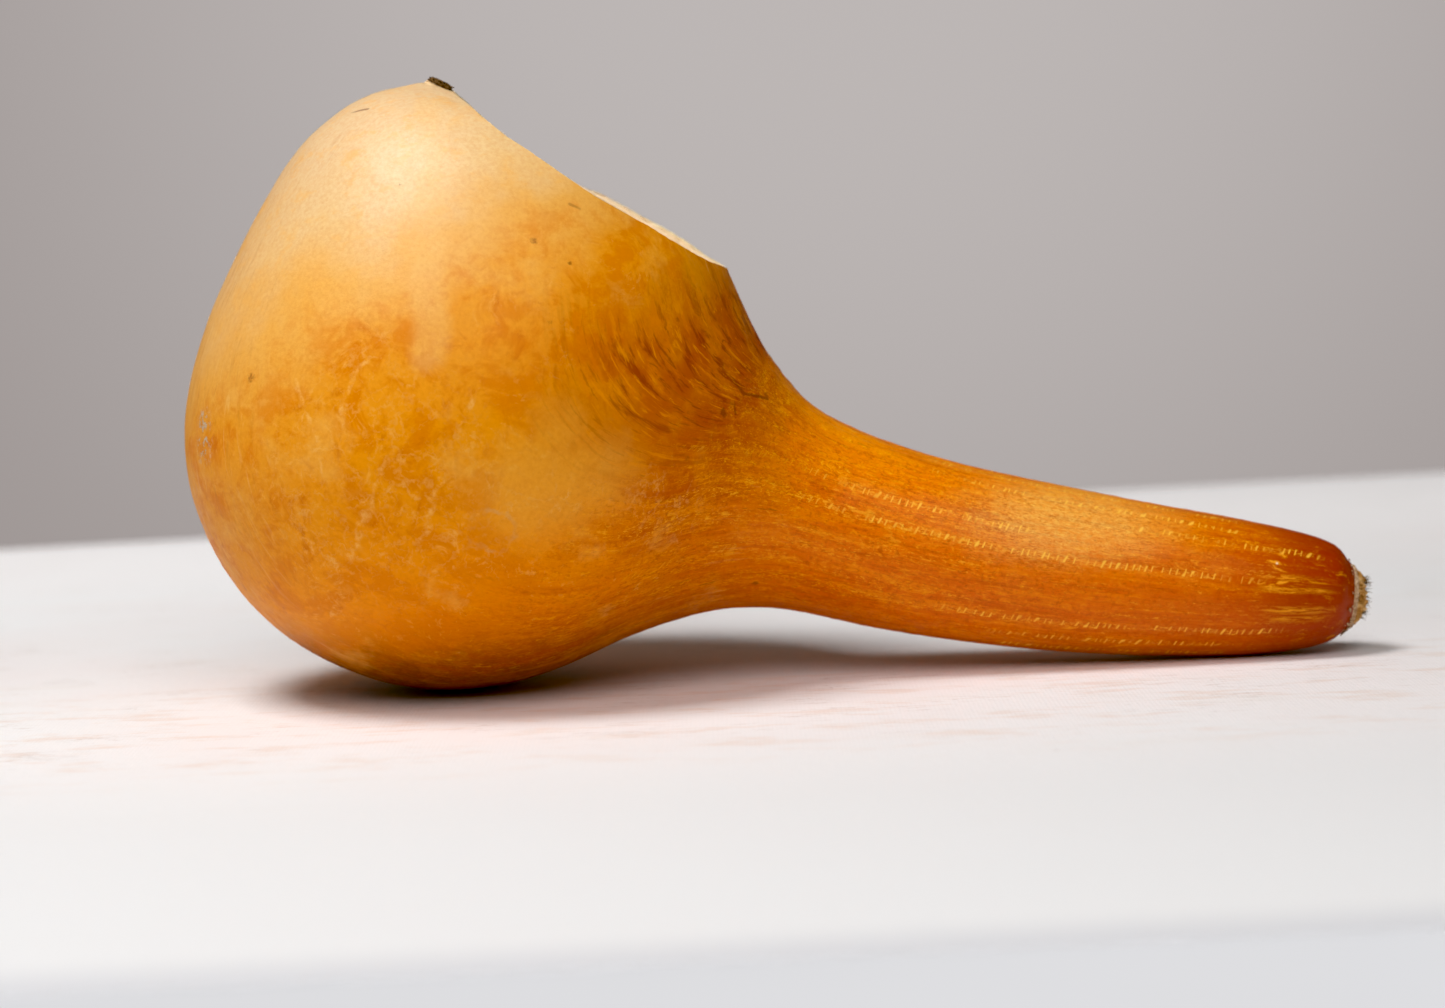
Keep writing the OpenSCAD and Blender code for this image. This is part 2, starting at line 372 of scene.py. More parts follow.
def skin_grid(rows, around):
    """Stations, angles, points and normals of a grid on the even skin."""
    station, angle = np.meshgrid(rows, around, indexing="ij")
    return station, angle, surface(station, angle), outward(station, angle)


# ------------------------------------------------------------ shader helpers
def connect(socket, value):
    if isinstance(value, Value):
        socket.id_data.links.new(value.socket, socket)
    else:
        socket.default_value = (*value, 1) if socket.type == "RGBA" else value


class Value:
    """A node's output; arithmetic on it and its methods add nodes."""

    def __init__(self, shader, socket):
        self.shader, self.socket = shader, socket

    def __add__(self, other): return self.shader.calc("ADD", self, other)
    def __radd__(self, other): return self.shader.calc("ADD", other, self)
    def __sub__(self, other): return self.shader.calc("SUBTRACT", self, other)
    def __rsub__(self, other): return self.shader.calc("SUBTRACT", other, self)
    def __mul__(self, other): return self.shader.calc("MULTIPLY", self, other)
    def __truediv__(self, other): return self.shader.calc("DIVIDE", self, other)
    def __abs__(self): return self.shader.calc("ABSOLUTE", self)
    def calc(self, operation, *others): return self.shader.calc(operation, self, *others)

    def vector(self, operation, other, output=0):
        return self.shader.node("VectorMath", {0: self, 1: other}, output, operation=operation)

    def shift(self, offset): return self.vector("ADD", offset)
    def stretch(self, factors): return self.vector("MULTIPLY", factors)
    def distance(self, point): return self.vector("DISTANCE", point, "Value")
    def dot(self, direction): return self.vector("DOT_PRODUCT", direction, "Value")

    def scaled(self, factor):
        return self.shader.node("VectorMath", {0: self, "Scale": factor}, operation="SCALE")

    def parts(self):
        node = self.shader.node("SeparateXYZ", {0: self}).socket.node
        return [Value(self.shader, socket) for socket in node.outputs]

    def remap(self, start, end, low=0.0, high=1.0, kind="LINEAR"):
        """Goes from low at start to high at end, in a straight line."""
        return self.shader.node("MapRange", {0: self, 1: start, 2: end, 3: low, 4: high},
                                interpolation_type=kind, clamp=True)

    def fade(self, start, end, low=0.0, high=1.0):
        """Like remap, but eased at both ends."""
        return self.remap(start, end, low, high, kind="SMOOTHSTEP")

    def noise(self, scale=1.0, detail=3, rough=0.5, distort=0.0, output="Fac"):
        return self.shader.node("TexNoise", {
            "Vector": self, "Scale": scale, "Detail": detail, "Roughness": rough,
            "Distortion": distort}, output, noise_dimensions="3D")

    def wander(self, amount, scale=1.0, detail=3, rough=0.5):
        """Noise centred on 0."""
        return (self.noise(scale, detail, rough) - 0.5) * amount

    def warped(self, amount, scale, detail, rough=0.5):
        """These coordinates, pushed about by noise."""
        return self.vector("ADD", self.noise(scale, detail, rough, output="Color").scaled(amount))

    def patches(self, scale, detail, between, rough=0.6, offset=(0, 0, 0)):
        """Soft-edged patches where the noise passes between two levels."""
        return self.shift(offset).noise(scale, detail, rough).fade(*between)

    def voronoi(self, scale, feature="F1", output="Distance"):
        return self.shader.node("TexVoronoi", {"Vector": self, "Scale": scale, "Randomness": 1.0},
                                output, voronoi_dimensions="3D", feature=feature)

    def ramp(self, stops, kind="LINEAR"):
        """Colours at places from 0 to 1: (place, linear RGB)."""
        result = self.shader.node("ValToRGB", {0: self})
        colours = result.socket.node.color_ramp
        colours.interpolation = kind
        colours.elements.remove(colours.elements[-1])
        for i, (position, colour) in enumerate(stops):
            element = colours.elements.new(position) if i else colours.elements[0]
            element.position = position
            element.color = (*colour, 1)
        return result

    def angle_ramp(self, stops, kind="LINEAR"):
        """Greys at angles from -pi to pi: (angle, level)."""
        return self.remap(-math.pi, math.pi).ramp(
            [((angle + math.pi) / (2 * math.pi), (level,) * 3) for angle, level in stops], kind)

    def bump(self, distance_mm):
        return self.shader.node(
            "Bump", {"Height": self, "Distance": distance_mm * MM, "Strength": 1.0})


class Shader:
    """A material whose nodes end in one surface shader."""

    def __init__(self, name, kind="BsdfPrincipled"):
        self.material = bpy.data.materials.new(name)
        self.material.use_nodes = True
        self.tree = self.material.node_tree
        self.tree.nodes.clear()
        output = self.tree.nodes.new("ShaderNodeOutputMaterial")
        self.surface = self.tree.nodes.new("ShaderNode" + kind)
        self.tree.links.new(self.surface.outputs[0], output.inputs[0])

    def node(self, kind, inputs=None, output=0, **settings):
        node = self.tree.nodes.new("ShaderNode" + kind)
        for name, value in settings.items():
            setattr(node, name, value)
        for name, value in (inputs or {}).items():
            connect(node.inputs[name], value)
        return Value(self, node.outputs[output])

    def calc(self, operation, *operands, clamp=False):
        return self.node("Math", dict(enumerate(operands)), operation=operation, use_clamp=clamp)

    def place_mm(self):
        return self.node("TexCoord", output="Object").scaled(1000.0)

    def attribute(self, name, output):
        return self.node("Attribute", output=output, attribute_name=name)

    def combine(self, x, y, z):
        return self.node("CombineXYZ", {0: x, 1: y, 2: z})

    def mix(self, mask, base, over):
        return self.node("Mix", {0: mask, 6: base, 7: over}, 2, data_type="RGBA",
                         blend_type="MIX", clamp_factor=True)

    def finish(self, **inputs):
        for name, value in inputs.items():
            connect(self.surface.inputs[name.replace("_", " ")], value)
        return self.material


def most(first, *others):
    for other in others:
        first = first.calc("MAXIMUM", other)
    return first


def srgb(*levels):
    """Linear RGB from display levels of 0 to 255."""
    def linear(level):
        level /= 255.0
        return level / 12.92 if level <= 0.04045 else ((level + 0.055) / 1.055) ** 2.4
    return tuple(linear(level) for level in levels)


# ------------------------------------------------------------ skin
# Bowl colours from low (0) to high (1): the dark low end under the belly is painted shade, and the
# cream at the top is partly the gourd's own tone and partly painted sheen from the upper left.
# Neck colours run from its under side to its top.
BOWL_TONES = [(0.10, (0.52, 0.090, 0.004)), (0.20, (0.80, 0.200, 0.003)),
              (0.32, (0.86, 0.275, 0.004)), (0.50, (0.86, 0.305, 0.008)),
              (0.66, (0.84, 0.325, 0.020)), (0.77, (0.86, 0.440, 0.088)),
              (0.87, (0.83, 0.555, 0.245)), (1.0, (0.80, 0.560, 0.300))]
# The neck colours darken towards its under side: painted shade.
NECK_TONES = [(0.0, (0.60, 0.105, 0.004)), (0.30, (0.72, 0.125, 0.003)),
              (0.62, (0.82, 0.175, 0.003)), (0.90, (0.92, 0.285, 0.005))]
# Single veins on the bowl's -Y side: from, to, width (mm).
VEINS = [((-27, -45, 24), (-22, -58, 38), 1.3), ((-22, -58, 38), (-14, -66, 53), 1.5),
         ((-14, -66, 53), (-11, -69, 62), 1.4), ((-11, -69, 62), (-7, -70, 71), 1.2),
         ((-13, -65, 88), (-19, -65, 79), 1.2), ((-19, -65, 79), (-21, -65, 72), 1.1),
         ((-22, -58, 38), (-32, -55, 45), 1.1), ((3, -70, 59), (-1, -67, 47), 1.2),
         ((-1, -67, 47), (-6, -62, 38), 1.2), ((-30, -59, 83), (-26, -63, 69), 1.1),
         ((14, -70, 82), (7, -71, 66), 1.0), ((-26, -63, 69), (-25, -63, 57), 1.0)]
# Single dark spots: centre, size (mm).
SPOTS = [((27, -54, 114), 0.8), ((30, -63, 95), 0.9), ((16, -60, 108), 0.5),
         ((35, -54, 108), 0.5), ((-43, -49, 84), 1.1), ((42, -58, 95), 0.5),
         ((47, -52, 92), 0.5), ((81, -22, 73), 0.8), ((76, -20, 26), 0.8), ((113, -9, 11), 0.9)]
# The stretch of the neck where the tick rows show: angle where it starts, from, to (mm).
TICK_STRETCHES = [(-math.pi, 30, 90), (-2.30, 20, 104), (-2.03, 148, 180), (-1.755, 250, 0),
                  (-1.481, 26, 145), (-1.208, 74, 190), (-0.935, 10, 60), (-0.66, 30, 110),
                  (0.6, 20, 140)]
TICK_RANGE = 250.0         # mm, the largest value in the table above
TICK_ROWS = 23             # round the neck
TICK_PITCH = 1.9           # mm along the neck
# Scuffed bars beside the stem: angle, strength.
BARS = [(-math.pi, 0), (-2.02, 0), (-1.95, 0.7), (-1.88, 0), (-1.79, 0.9), (-1.72, 0),
        (-1.53, 0), (-1.455, 1), (-1.39, 0.1), (-1.33, 0.1), (-1.27, 1), (-1.20, 0), (math.pi, 0)]


class Skin(Shader):
    """The gourd's skin, painted in coats. Colours are linear RGB, lengths are mm."""

    def __init__(self):
        super().__init__("gourd_skin")
        self.place = self.place_mm()
        self.laid = self.attribute("gc", "Vector")       # place on the straightened gourd
        self.station = station = self.attribute("gt", "Fac")
        self.along, self.rise, self.side = self.laid.parts()
        self.x, self.y, self.z = self.place.parts()
        self.angle = self.side.calc("ARCTAN2", self.rise)
        self.neck = station.fade(7.6, 5.2)
        self.bowl = 1.0 - self.neck
        self.shoulder = station.fade(4.6, 6.6) * station.fade(11.0, 7.6)
        self.round_x = self.angle.calc("COSINE") * 25.0
        self.round_y = self.angle.calc("SINE") * 25.0

    def coat(self, mask, colour, amount=None):
        if amount is not None:
            mask = mask * amount
        self.colour = self.mix(mask, self.colour, colour)

    def fibres(self, along, across, detail, rough, distort=0.5, offset=0.0):
        """Noise drawn out along the gourd; along and across are its fineness."""
        return self.combine(self.along * along + offset, self.round_x * across,
                            self.round_y * across).noise(1.0, detail, rough, distort)

    def near(self, centre, inner, outer, ragged=0.0, stretch=(1, 1, 1)):
        """1 within the inner radius of a place, falling to 0 at the outer one."""
        offset = self.place.shift(tuple(-np.array(centre, float))).stretch(stretch)
        distance = offset.distance((0, 0, 0))
        if ragged:
            distance = distance + self.place.wander(ragged, 0.22 if outer > 3 else 1.1,
                                                    detail=4, rough=0.65)
        return distance.fade(outer, inner)

    def line(self, start, end, width, wander=8.0, scale=0.13):
        """A thin wandering line between two places."""
        start, end = np.array(start, float), np.array(end, float)
        span = end - start
        drift = self.place.noise(scale, detail=4, rough=0.6, output="Color")
        drift = drift.shift((-0.5, -0.5, -0.5)).scaled(wander)
        offset = self.place.shift(drift).shift(tuple(-start))
        share = self.calc("MULTIPLY", offset.dot(tuple(span / (span @ span))), 1.0, clamp=True)
        nearest = self.combine(share, share, share).stretch(tuple(span))
        distance = offset.vector("SUBTRACT", nearest).distance((0, 0, 0))
        return distance.fade(width, width * 0.35)

    def ground(self):
        """Cream gold at the blossom end, orange round the belly, red towards the stem. The cream
        is partly painted sheen, the dark under the belly and under the neck is painted shade, and
        the shoulder's brown is partly painted shade.
        """
        place, along, x, z = self.place, self.along, self.x, self.z
        self.lean = (z - x * 0.42) + place.wander(46.0, 0.030, detail=4, rough=0.6)
        # Cream towards the upper left is partly painted sheen; the darkest part, low under the
        # belly, is painted shade.
        bowl = self.lean.remap(-20, 150).ramp(BOWL_TONES)
        self.back = x.fade(-20, -62)
        bowl = self.mix(self.back * 0.45, bowl, (0.80, 0.335, 0.034))
        # Painted contact shade: the bowl darkens to near black close to the table.
        under = z + place.wander(7.0, 0.10)
        bowl = self.mix(under.fade(27, 4, high=0.96), bowl, (0.11, 0.011, 0.001))
        self.high = z / (along * 0.36 + 34.0) + self.laid.wander(0.55, 0.045)
        # The neck ramp, darker on the under side: painted shade.
        neck = self.high.ramp(NECK_TONES)
        stem_end = along.fade(66, 4) * self.laid.noise(0.06).remap(0.3, 0.6, low=0.75)
        neck = self.mix(stem_end, neck, (0.46, 0.030, 0.001))
        neck = self.mix(along.fade(30, 1) * 0.85, neck, (0.24, 0.016, 0.001))
        self.colour = self.mix(self.neck, bowl, neck)
        # The shoulder's brown coat is partly its own tone and partly painted shade, where the
        # shoulder turns away from the light.
        brown = self.shoulder * self.station.fade(5.8, 7.4) * z.fade(30, 62, low=0.35)
        self.coat(brown, (0.52, 0.080, 0.002), amount=place.patches(0.05, 4, (0.26, 0.56)))

    def mottling(self):
        """Cloudy mottling on the bowl, with one big pale patch and a pale streak down the front
        that is a painted reflection.
        """
        place, near, line = self.place, self.near, self.line
        warp = place.warped(16.0, 0.06, detail=2)
        where = self.lean.fade(118, 88) * self.z.fade(6, 30, low=0.3) * self.bowl
        self.mottled = where
        large = warp.patches(0.085, 6, (0.47, 0.60), rough=0.68)
        small = warp.patches(0.21, 5, (0.50, 0.66), rough=0.65, offset=(31, 7, 5))
        self.coat(most(large, small * 0.8) * where, (0.72, 0.190, 0.002), amount=0.74)
        core = warp.patches(0.14, 6, (0.57, 0.70), rough=0.7, offset=(3, 51, 9))
        self.coat(core * where, (0.60, 0.125, 0.003), amount=0.55)
        pale = place.patches(0.05, 5, (0.53, 0.70), rough=0.62, offset=(90, 40, 3))
        self.coat(pale * (1.0 - self.neck * 0.9), (0.90, 0.44, 0.075), amount=0.55)
        fine = warp.patches(0.42, 6, (0.54, 0.68), rough=0.72, offset=(8, 2, 44))
        fine_area = where * place.patches(0.04, 3, (0.42, 0.58), offset=(70, 5, 8))
        self.coat(fine * fine_area, (0.92, 0.46, 0.090), amount=0.50)
        cloud = most(near((27, -66, 56), inner=6, outer=20, ragged=9, stretch=(0.8, 1, 1)),
                     near((40, -61, 60), inner=5, outer=18, ragged=10),
                     near((33, -66, 70), inner=3, outer=14, ragged=8))
        self.coat(cloud, (0.90, 0.40, 0.045), amount=0.62)
        # A pale streak down the front of the bowl: a painted reflection of the lights.
        streak = most(
            line((2, -50, 124), (2, -68, 88), width=6.0, wander=6, scale=0.08),
            line((1, -24, 149), (3, -50, 124), width=5.0, wander=6, scale=0.08) * 0.7)
        self.coat(streak, (0.90, 0.52, 0.150), amount=0.38)

    def veins(self):
        """A pale net of veins and a faint ring mark."""
        place = self.place
        warp = place.warped(10.0, 0.17, detail=4, rough=0.65)
        wide = warp.voronoi(0.085, "DISTANCE_TO_EDGE")
        narrow = warp.shift((3, 8, 1)).voronoi(0.19, "DISTANCE_TO_EDGE")
        net = most(wide.fade(0.040, 0.004), narrow.fade(0.050, 0.006) * 0.6)
        patch = most(place.patches(0.035, 3, (0.52, 0.66), offset=(5, 60, 20)),
                     self.near((-14, -62, 60), inner=14, outer=44, ragged=12) * 0.8)
        broken = place.noise(0.45, detail=3, rough=0.6).remap(0.40, 0.62)
        net = net * (patch * self.mottled) * broken
        single = most(*[self.line(*vein) for vein in VEINS])
        single = single * place.noise(0.42, detail=5, rough=0.75).remap(0.44, 0.60)
        self.coat(most(net * 0.85, single * 0.8), (0.93, 0.53, 0.150), amount=0.62)
        distance = place.distance((14.5, -66.5, 46)) + place.wander(4.5, 0.3)
        ring = abs(distance - 5.2).fade(1.0, 0.2) * place.noise(0.35).remap(0.42, 0.60)
        self.coat(ring, (0.70, 0.36, 0.13), amount=0.42)
        self.coat(self.near((12, -67, 46), inner=1, outer=6, ragged=5), (0.66, 0.17, 0.004),
                  amount=0.45)

    def grain(self):
        """Fine grain everywhere, with fine lines along the bowl's -X side and edges."""
        place = self.place
        self.coat(place.noise(0.9, detail=4, rough=0.7).remap(0.40, 0.70, high=0.30),
                  (0.66, 0.180, 0.004))
        hair = self.combine(self.along * 0.10, self.angle * 30.0, 0.0)
        hair = hair.noise(detail=4, rough=0.6, distort=0.6)
        edge = (self.bowl * most(self.back, self.y.fade(-44, -16))
                * place.distance(tuple(BLOSSOM.origin)).fade(18, 46))
        self.coat(hair.fade(0.56, 0.70) * (edge * 0.42), (0.56, 0.170, 0.014))
        self.coat(hair.fade(0.42, 0.30) * (edge * 0.35), (0.93, 0.60, 0.210))
        tan = place.stretch((1, 1, 1.6)).patches(0.16, 5, (0.52, 0.66), rough=0.68,
                                                 offset=(2, 17, 60))
        self.coat(tan * self.bowl * self.lean.fade(84, 104), (0.86, 0.420, 0.080), amount=0.40)

    def neck_fibres(self):
        """Fibres along the neck and shoulder: broad tone, short grain, flecks in lines."""
        self.fibrous = area = most(self.neck, self.shoulder * 0.85)
        lower = self.along.remap(10, 100, low=0.22) * self.high.remap(0.05, 0.55, low=0.55)
        self.broad = broad = self.fibres(0.040, 0.40, detail=5, rough=0.62)
        self.middle = middle = self.fibres(0.24, 1.35, detail=5, rough=0.66, distort=0.8)
        self.short = short = self.fibres(0.62, 2.10, detail=5, rough=0.70, distort=1.2)
        grain = self.place.noise(0.75, detail=5, rough=0.72, distort=0.4)
        self.coat(broad.fade(0.50, 0.64) * (area * (lower * 0.50)), (0.90, 0.280, 0.004))
        self.coat(broad.fade(0.48, 0.35) * (area * 0.52), (0.52, 0.072, 0.002))
        self.coat(middle.fade(0.54, 0.66) * (area * (lower * 0.52)), (0.93, 0.350, 0.008))
        self.coat(middle.fade(0.46, 0.34) * (area * 0.46), (0.46, 0.058, 0.002))
        self.coat(grain.fade(0.47, 0.34) * (area * 0.50), (0.44, 0.055, 0.002))
        self.coat(grain.fade(0.55, 0.66) * (area * (lower * 0.42)), (0.93, 0.370, 0.010))
        wide = self.fibres(0.010, 0.30, detail=3, rough=0.6, distort=0.0, offset=7.0)
        thin = self.fibres(0.022, 0.85, detail=3, rough=0.6, distort=0.3, offset=90.0)
        bands = most(wide.fade(0.48, 0.62), thin.fade(0.52, 0.62) * 0.9)
        fleck = short.fade(0.545, 0.61) * (area * bands)
        self.coat(fleck * (most(lower, bands * 0.75) * 0.90), (0.96, 0.470, 0.022))
        grimy = self.laid.patches(0.05, 4, (0.36, 0.58), offset=(14, 2, 7))
        self.coat(short.fade(0.455, 0.39) * (area * grimy), (0.42, 0.055, 0.002), amount=0.60)
        self.coat(self.along.fade(32, 5, high=0.78), (0.34, 0.022, 0.001))

    def upper_shoulder(self):
        """The brown, streaked upper shoulder; its broad darkening is partly painted shade."""
        upper = (self.station.fade(7.3, 8.7) * self.station.fade(14.6, 11.4)
                 * abs(self.angle).fade(1.42, 0.86))
        # Broad darkening of the upper shoulder: partly its own brown, partly painted shade. The
        # streaks below are its own marks.
        cloud = self.place.noise(0.07, detail=4, rough=0.6).fade(0.32, 0.58, low=0.35, high=0.85)
        self.coat(upper * cloud, (0.50, 0.078, 0.002))
        wide = self.fibres(0.030, 0.62, detail=5, rough=0.66, distort=0.5, offset=40.0)
        thin = self.fibres(0.055, 1.30, detail=4, rough=0.62, distort=0.7, offset=64.0)
        for streaks, start, end, amount, colour in (
                (wide, 0.52, 0.64, 0.72, (0.30, 0.036, 0.001)),
                (wide, 0.46, 0.36, 0.55, (0.80, 0.220, 0.003)),
                (thin, 0.56, 0.66, 0.70, (0.90, 0.330, 0.008)),
                (thin, 0.44, 0.35, 0.60, (0.26, 0.034, 0.002))):
            self.coat(streaks.fade(start, end) * (upper * amount), colour)
        dark = self.fibres(0.11, 0.55, detail=4, rough=0.6, distort=0.3, offset=11.0)
        self.coat(dark.fade(0.66, 0.74) * most(self.neck * 0.5, self.shoulder),
                  (0.26, 0.050, 0.004), amount=0.7)

    def tick_rows(self):
        """Rows of short crosswise ticks along the neck, each over its own stretch."""
        along, short = self.along, self.short
        first, last = [self.angle.angle_ramp(
            [(row[0], row[column] / TICK_RANGE) for row in TICK_STRETCHES], "CONSTANT")
            * TICK_RANGE for column in (1, 2)]
        wobble = self.combine(along * 0.05, 3.0, 0.0).wander(2.2)
        radius = (self.rise * self.rise + self.side * self.side).calc("SQRT")
        rows = (self.angle * (TICK_ROWS / (2 * math.pi))
                + (1.345 * TICK_ROWS / (2 * math.pi) + 20.5))
        row_seed = rows.calc("FLOOR") * 3.7
        aside = (rows.calc("FRACT") - 0.5) * radius * (2 * math.pi / TICK_ROWS) + wobble
        slid = along + aside * 0.35 + self.combine(along * 0.16, row_seed, 0.0).wander(
            6.0, rough=0.6)
        cell = slid * (1 / TICK_PITCH)
        each = self.combine(cell.calc("FLOOR") * 5.37, row_seed, 2.0).noise(detail=1)
        reach = each.remap(0.30, 0.70, low=0.50, high=1.15)
        aside = abs(aside)
        band = (aside / reach).fade(1.15, 0.70)
        tick = abs(cell.calc("FRACT") - 0.5) + (short - 0.5) * 0.25
        tick = tick.fade(0.16, 0.06) * band * each.remap(0.34, 0.50)
        halo = aside.fade(1.2, 0.3) * short.fade(0.52, 0.62, high=0.6)
        shown = (along - first).fade(-4, 4) * (last - along).fade(-4, 4)
        gaps = self.combine(along * 0.08, row_seed, 5.0).noise(detail=3, rough=0.6)
        shown = shown * gaps.fade(0.36, 0.52)
        self.coat(shown * along.remap(150, 126, low=0.35) * most(tick, halo),
                  (0.97, 0.520, 0.050), amount=0.92)

    def scuffs(self):
        """Scuffed places and a painted highlight on the neck."""
        along = self.along
        worn = self.combine(along * 0.11, self.rise * 0.34, self.side * 0.34)
        worn = worn.noise(detail=7, rough=0.74, distort=0.9)
        some = most(self.near((206, -15, 24), inner=8, outer=22, ragged=8, stretch=(0.6, 1, 1.4)),
                    self.laid.patches(0.03, 3, (0.50, 0.62), offset=(40, 3, 3)) * 0.7)
        scuff = worn.fade(0.57, 0.64) * (self.neck * some)
        bars = (self.angle + (self.broad - 0.5) * 0.10).angle_ramp(BARS)
        bars = bars * along.remap(4, 10) * along.remap(28, 20)
        threads = self.fibres(0.20, 1.1, detail=5, rough=0.72, distort=0.9, offset=150.0)
        self.scuff = most(scuff, bars * threads.fade(0.46, 0.55))
        self.coat(self.scuff, (0.95, 0.400, 0.016), amount=0.85)
        # A speckled pale patch on the upper front of the neck: a painted highlight.
        painted_highlight = self.near((156, -15, 39), inner=4, outer=22, ragged=10, stretch=(0.55, 1, 1.3))
        self.coat(painted_highlight * self.short.remap(0.42, 0.58, low=0.25), (0.95, 0.570, 0.120),
                  amount=0.66)

    def spots(self):
        """Small corky spots, whitish scabs on the -X side and one pale dot near the stem."""
        near, line = self.near, self.line
        warp = self.place.warped(1.8, 0.5, detail=3, rough=0.6)
        distance = warp.voronoi(0.060)
        chance, size, _ = warp.voronoi(0.060, output="Color").parts()
        spot = (distance.fade(0.020 + size * 0.040, 0.012) * chance.calc("GREATER_THAN", 0.62))
        single = most(
            *[near(centre, inner=size * 0.35, outer=size * 1.5, ragged=2.4 * size)
              for centre, size in SPOTS],
            line((35.2, -45, 121.9), (37.8, -45, 120.9), width=0.66, wander=1.2) * 0.6,
            line((-19, -18, 147), (-14, -21, 147), width=0.7, wander=0.8),
            line((73, -33, 78), (75, -30, 74), width=0.9, wander=0.8),
            line((75, -30, 74), (81, -22, 72), width=0.6, wander=1.2),
            line((73, -34, 72.5), (73, -34, 69.5), width=0.7, wander=1.2) * 0.8,
            near((70, -38, 70), inner=0.6, outer=1.6, ragged=2.0),
            near((60, -46, 60), inner=0.5, outer=1.4, ragged=2.0))
        self.coat(most(spot * 0.7, single), (0.22, 0.040, 0.005), amount=0.70)
        crust = self.place.noise(0.55, detail=5, rough=0.7).fade(0.50, 0.60)
        self.scab = crust * most(near((-57, -34, 73), inner=2, outer=5, ragged=3),
                                 near((-57, -34, 67), inner=2, outer=6, ragged=4))
        self.coat(self.scab, (0.72, 0.58, 0.42), amount=0.9)
        self.coat(near((207, -14, 25), inner=0.25, outer=0.55), (0.9, 0.8, 0.6))

    def build(self):
        for paint in (self.ground, self.mottling, self.veins, self.grain, self.neck_fibres,
                      self.upper_shoulder, self.tick_rows, self.scuffs, self.spots):
            paint()
        place, neck = self.place, self.neck
        rough = place.noise(0.35, detail=4, rough=0.6).remap(0.3, 0.7, low=0.40, high=0.54)
        rough = rough + neck * -0.06
        creamy = self.lean.fade(88, 122) * self.bowl
        height = (place.noise(0.55, detail=4, rough=0.55) * 0.45
                  + place.noise(2.2, detail=3, rough=0.6) * 0.10)
        height = height + self.middle * self.fibrous * 0.32 + self.scab * 1.6
        return self.finish(
            Base_Color=self.colour,
            Roughness=rough + most(self.scuff, self.scab) * 0.15,
            Specular_IOR_Level=creamy * 0.30 + neck.remap(0, 1, low=0.14, high=0.22),
            Normal=height.bump(0.15))


# ------------------------------------------------------------ pith, rind edge and wood
def pith_material(name, tones, deep=0.0):
    shader = Shader(name)
    place = shader.place_mm()
    base = place.noise(0.09, detail=5, rough=0.6).ramp(
        [(position, srgb(*tone)) for position, tone in zip((0.25, 0.5, 0.78), tones)])
    cells = place.warped(0.6, 0.8, detail=2).voronoi(1.35)
    base = shader.mix(cells.fade(0.55, 0.15, high=0.35), base, srgb(204, 166, 110))
    stain = place.shift((9, 4, 1)).noise(0.035, detail=4, rough=0.6)
    base = shader.mix(stain.fade(0.5, 0.72, high=0.5), base, srgb(206, 158, 92))
    if deep:
        base = shader.mix(deep, base, srgb(176, 128, 70))
    height = cells * 0.8 + place.noise(0.7, detail=5, rough=0.65) * 0.9
    return shader.finish(Base_Color=base, Roughness=0.86, Specular_IOR_Level=0.25,
                         Normal=height.bump(0.35))


def rind_edge_material():
    shader = Shader("rind_cut_edge")
    place = shader.place_mm()
    base = place.noise(0.6, detail=4, rough=0.6).ramp(
        [(0.3, srgb(236, 200, 140)), (0.6, srgb(248, 222, 172)), (0.8, srgb(252, 232, 190))])
    return shader.finish(Base_Color=base, Roughness=0.7,
                         Normal=place.noise(2.0, detail=4, rough=0.6).bump(0.12))


def woody(name, light, middle, dark, fine, bump, drawn_out=False):
    """Cork or wood; drawn_out stretches its grain along the stem."""
    shader = Shader(name)
    offset = shader.place_mm().shift(tuple(-STEM.origin))
    height = offset.dot(tuple(STEM.axis))
    on_axis = shader.combine(height * float(STEM.axis[0]), 0.0, height * float(STEM.axis[2]))
    grain = offset.vector("SUBTRACT", on_axis).scaled(fine).shift(
        shader.combine(height * (0.35 if drawn_out else fine), 0.0, 0.0))
    close = grain.noise(detail=5, rough=0.65)
    broad = grain.shift((13, 5, 9)).noise(0.32, detail=3, rough=0.6)
    base = (close * 0.6 + broad * 0.4).ramp(
        [(0.34, srgb(*dark)), (0.47, srgb(*middle)), (0.60, srgb(*light))])
    return shader.finish(Base_Color=base, Roughness=0.85, Specular_IOR_Level=0.2,
                         Normal=close.bump(bump))


SKIN = Skin().build()
EDGE = rind_edge_material()
PITH = pith_material("pith_inside", ((240, 200, 148), (247, 214, 164), (251, 226, 182)))
PITH_CUT = pith_material("pith_cut_face", ((245, 208, 162), (249, 217, 174), (251, 224, 185)))
PITH_DEEP = pith_material("pith_plug", ((240, 214, 168), (249, 230, 190), (253, 240, 208)),
                          deep=0.35)
CORK = woody("collar_cork", light=(214, 186, 156), middle=(178, 140, 104), dark=(104, 66, 36),
             fine=1.6, bump=0.14)
WOOD = woody("stem_wood", light=(226, 184, 122), middle=(186, 132, 70), dark=(52, 30, 14),
             fine=1.5, bump=0.20, drawn_out=True)
CRUMB = woody("stem_crumbs", light=(120, 84, 46), middle=(74, 48, 24), dark=(32, 20, 10),
              fine=1.8, bump=0.2)
FIBRE = woody("stem_fibre", light=(140, 112, 62), middle=(98, 68, 32), dark=(44, 30, 16),
              fine=1.6, bump=0.05, drawn_out=True)
SCAR_CORK = woody("scar_cork", light=(136, 100, 56), middle=(72, 45, 20), dark=(26, 14, 6),
                  fine=1.5, bump=0.3)


# ------------------------------------------------------------ rind, lining and plug
def rind_depth(station):
    return RIND + (RIND_END - RIND) * (1 - smooth(station / 2.5))


